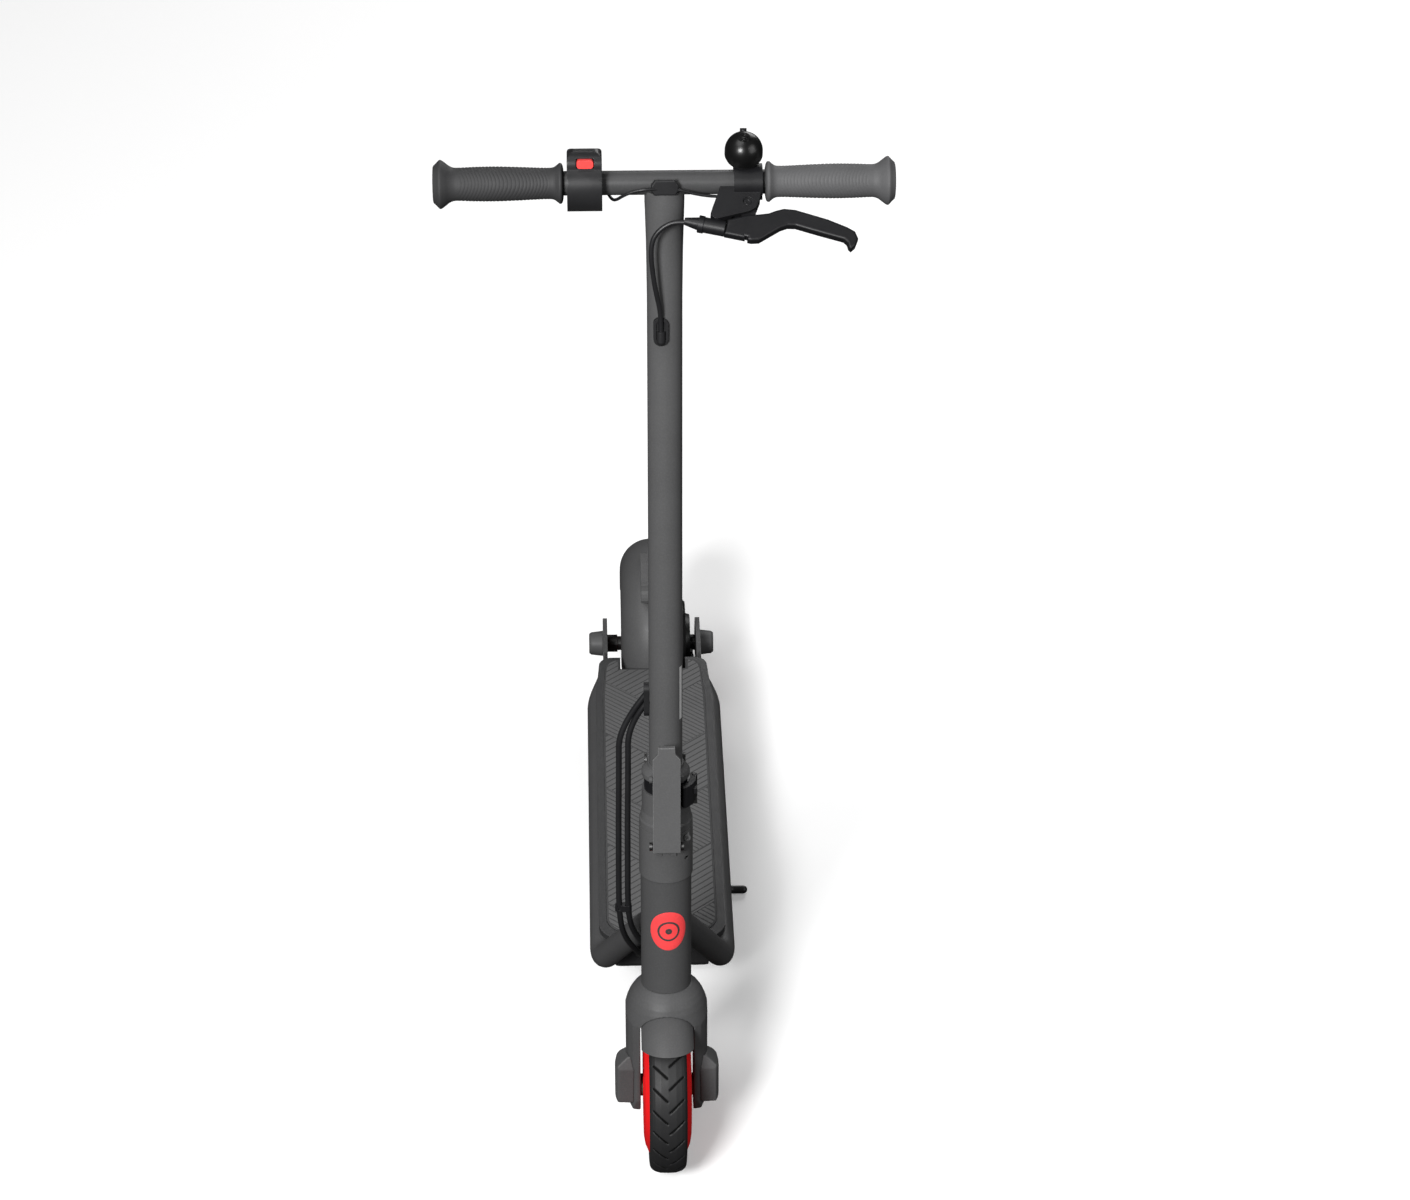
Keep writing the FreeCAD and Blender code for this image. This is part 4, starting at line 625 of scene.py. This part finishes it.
# Routes are column points, and the rear cable's are (x, y from the front axle, z).
CABLE_A = [(-12, 2, 460), (-46.2, 3, 417), (-46.4, 5, 362), (-47.2, 6, 304)]
CABLE_B = [(-12, 2, 449), (-37.2, 3, 420), (-37.2, 5, 364), (-38.2, 6, 304)]
CABLE_A_LOW = [(-47.2, 6, 304), (-47.6, 7, 248), (-47.6, 9, 194), (-43, 20, 160), (-30, 38, 130),
               (-24, 72, 104), (-26, 118, 74), (-28.5, 160, 50), (-28.5, 192, 53.6)]
CABLE_B_LOW = [(-38.2, 6, 304), (-38.5, 7, 250), (-38.6, 9, 200), (-35, 19, 169), (-21, 38, 136),
               (-15.5, 72, 108), (-17, 118, 76), (-19.5, 160, 50), (-19.5, 192, 53.6)]
HOSE = [(30, -33.5, 951.9), (12, -30.4, 954.6), (-4.9, -30.5, 947.1), (-14.2, -31, 931.4),
        (-10.5, -28.5, 893), (-5, -22.5, 866), (-3.9, -18.9, 852), (-3.9, -18.9, 838)]
WIRE_LEFT = [(-3, -17, 980), (-14, -20.5, 981), (-28, -18.5, 978.5), (-38, -15.5, 973), (-44.5, -9, 966.5),
             (-48, 2, 963.5), (-52, 11, 967), (-57, 16, 973)]
WIRE_RIGHT = [(3, -17, 980.5), (13, -18.5, 979.5), (27, -17.5, 975), (42, -17.5, 972.5), (53, -17, 972)]
REAR_CABLE = [(38, 628, 92), (38, 658, 92), (42, 686, 95), (48.7, 708, 95), (48.7, 724, 93)]


def cord_mesh(name, routes, radius):
    """Smooth tubes along routes of points in metres, joined in one mesh."""
    data = bpy.data.curves.new(name, "CURVE")
    data.dimensions = "3D"
    data.bevel_depth = radius * MM
    data.bevel_resolution = 6
    data.resolution_u = 14
    data.use_fill_caps = True
    for route in routes:
        spline = data.splines.new("NURBS")
        spline.points.add(len(route) - 1)
        for point, place in zip(spline.points, route):
            point.co = (*place, 1.0)
        spline.order_u = 3
        spline.use_endpoint_u = True
    curve = bpy.data.objects.new(name + "_line", data)
    bpy.context.scene.collection.objects.link(curve)
    bpy.context.view_layer.update()
    mesh = bpy.data.meshes.new_from_object(curve)
    bpy.data.objects.remove(curve)
    mesh.polygons.foreach_set("use_smooth", [True] * len(mesh.polygons))
    obj = bpy.data.objects.new(name, mesh)
    bpy.context.scene.collection.objects.link(obj)
    mesh.materials.clear()
    mesh.materials.append(M["cord"])
    return obj


def on_column(route):
    return [column(*p) for p in route]


def make_cords():
    upper = cord_mesh("long_cables_upper", [on_column(CABLE_A), on_column(CABLE_B)], 3.0)
    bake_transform(upper)
    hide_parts("cables_upper")
    lower = cord_mesh("long_cables_lower", [on_column(CABLE_A_LOW), on_column(CABLE_B_LOW)], 3.0)
    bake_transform(lower)
    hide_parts("cables_lower")
    hose = cord_mesh("brake_cable_front", [on_column(HOSE)], 2.3)
    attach(hose, "stem")
    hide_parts("brake_hose")
    wires = cord_mesh("bar_wires", [on_column(WIRE_LEFT), on_column(WIRE_RIGHT)], 1.45)
    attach(wires, "stem")
    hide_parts("control_wires")
    route = [Vector((x, y + FRONT_Y, z)) * MM for x, y, z in REAR_CABLE]
    rear = cord_mesh("brake_cable_rear", [route], 2.4)
    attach(rear, "frame")
    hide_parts("rear_brake_cable")


# ---------------------------------------------------------------- small surface details


def tube_patch(name, outline, lift, key):
    """A thin patch wrapped on the front of the head tube. outline gives (x along the arc, t) points."""
    centre_x = sum(p[0] for p in outline) / len(outline)
    centre_t = sum(p[1] for p in outline) / len(outline)
    rings = 10
    points = []
    for k in range(rings + 1):
        share = k / rings
        for x, t in outline:
            arc = (centre_x + (x - centre_x) * share) / HEAD_R
            up = centre_t + (t - centre_t) * share
            rise = HEAD_R + (lift if k < rings else 0.0)
            points.append(column(rise * math.sin(arc), -rise * math.cos(arc), up))
    faces = grid_faces(rings + 1, len(outline), close_columns=True)
    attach(mesh_object(name, points, faces, key), "frame")


def oval(cx, ct, half_x, half_t, count=64):
    angles = [2 * math.pi * k / count for k in range(count)]
    return [(cx + half_x * math.cos(a), ct + half_t * math.sin(a)) for a in angles]


def ring_patch(name, cx, ct, outer, inner, lift, key):
    """A thin band between two circles wrapped on the head tube."""
    top = HEAD_R + lift
    points = []
    for half, rise in ((outer, top - 0.06), (outer - 0.25, top), (inner + 0.25, top), (inner, top - 0.06)):
        for x, t in oval(cx, ct, half, half):
            arc = x / HEAD_R
            points.append(column(rise * math.sin(arc), -rise * math.cos(arc), t))
    faces = grid_faces(4, len(points) // 4, close_columns=True)
    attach(mesh_object(name, points, faces, key), "frame")


def make_badge():
    """A plain enamel disc with a plain ring and dot."""
    x, t = 2.0, 193
    tube_patch("badge_disc", oval(x, t, 19.5, 22.5), 0.35, "badge")
    ring_patch("badge_ring", x, t, 11.5, 9.3, 0.47, "badge_mark")
    ring_patch("badge_dot", x, t, 3.4, 0.3, 0.47, "badge_mark")


def make_stripe():
    """A plain thin stripe on the rider's left of the stem."""
    heights = np.linspace(428.0, 486.0, 12)
    angles = [math.radians(degrees) for degrees in (54, 62, 70)]
    points = []
    for rise in (STEM_R, STEM_R + 0.12):
        for t in heights:
            points += [column(rise * math.sin(a), -rise * math.cos(a), t) for a in angles]
    sheet = grid_faces(len(heights), len(angles))
    outer = len(heights) * len(angles)
    faces = [tuple(i + outer for i in face) for face in sheet] + [face[::-1] for face in sheet]
    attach(mesh_object("stem_stripe", points, faces, "stripe"), "stem")


def soften(name, voxel, rounds):
    """Rounds a cast or moulded piece all over: a skin of voxel mm, then rounds of smoothing."""
    obj = NODES[name]
    mesh = obj.modifiers.new("skin", "REMESH")
    mesh.mode = "VOXEL"
    mesh.voxel_size = voxel * MM
    mesh.use_smooth_shade = True
    smooth = obj.modifiers.new("soften", "SMOOTH")
    smooth.factor = 0.5
    smooth.iterations = rounds


make_camera()
make_stage()
make_materials()
paint_cad_nodes()
make_cords()
make_tyre("front_tyre_tread", FRONT_Y, "front_wheel", "front_tyre")
make_tyre("rear_tyre_tread", REAR_Y, "rear_wheel", "rear_tyre")
# Each grip takes one of the lit and shaded copies of the grip rubber: painted light on the left grip,
# painted shade on the right.
make_grip("grip_left_ribbed", 1, "grip_painted_lit", "grip_left")
make_grip("grip_right_ribbed", -1, "grip_painted_shade", "grip_right")
make_mat()
make_badge()
make_stripe()
soften("fork", 0.8, 4)
soften("fork_cover_left", 0.7, 6)
soften("fork_cover_right", 0.7, 6)

for node in NODES.values():
    if any(material is None for material in node.data.materials):
        raise RuntimeError(f"{node.name} has an empty material slot")
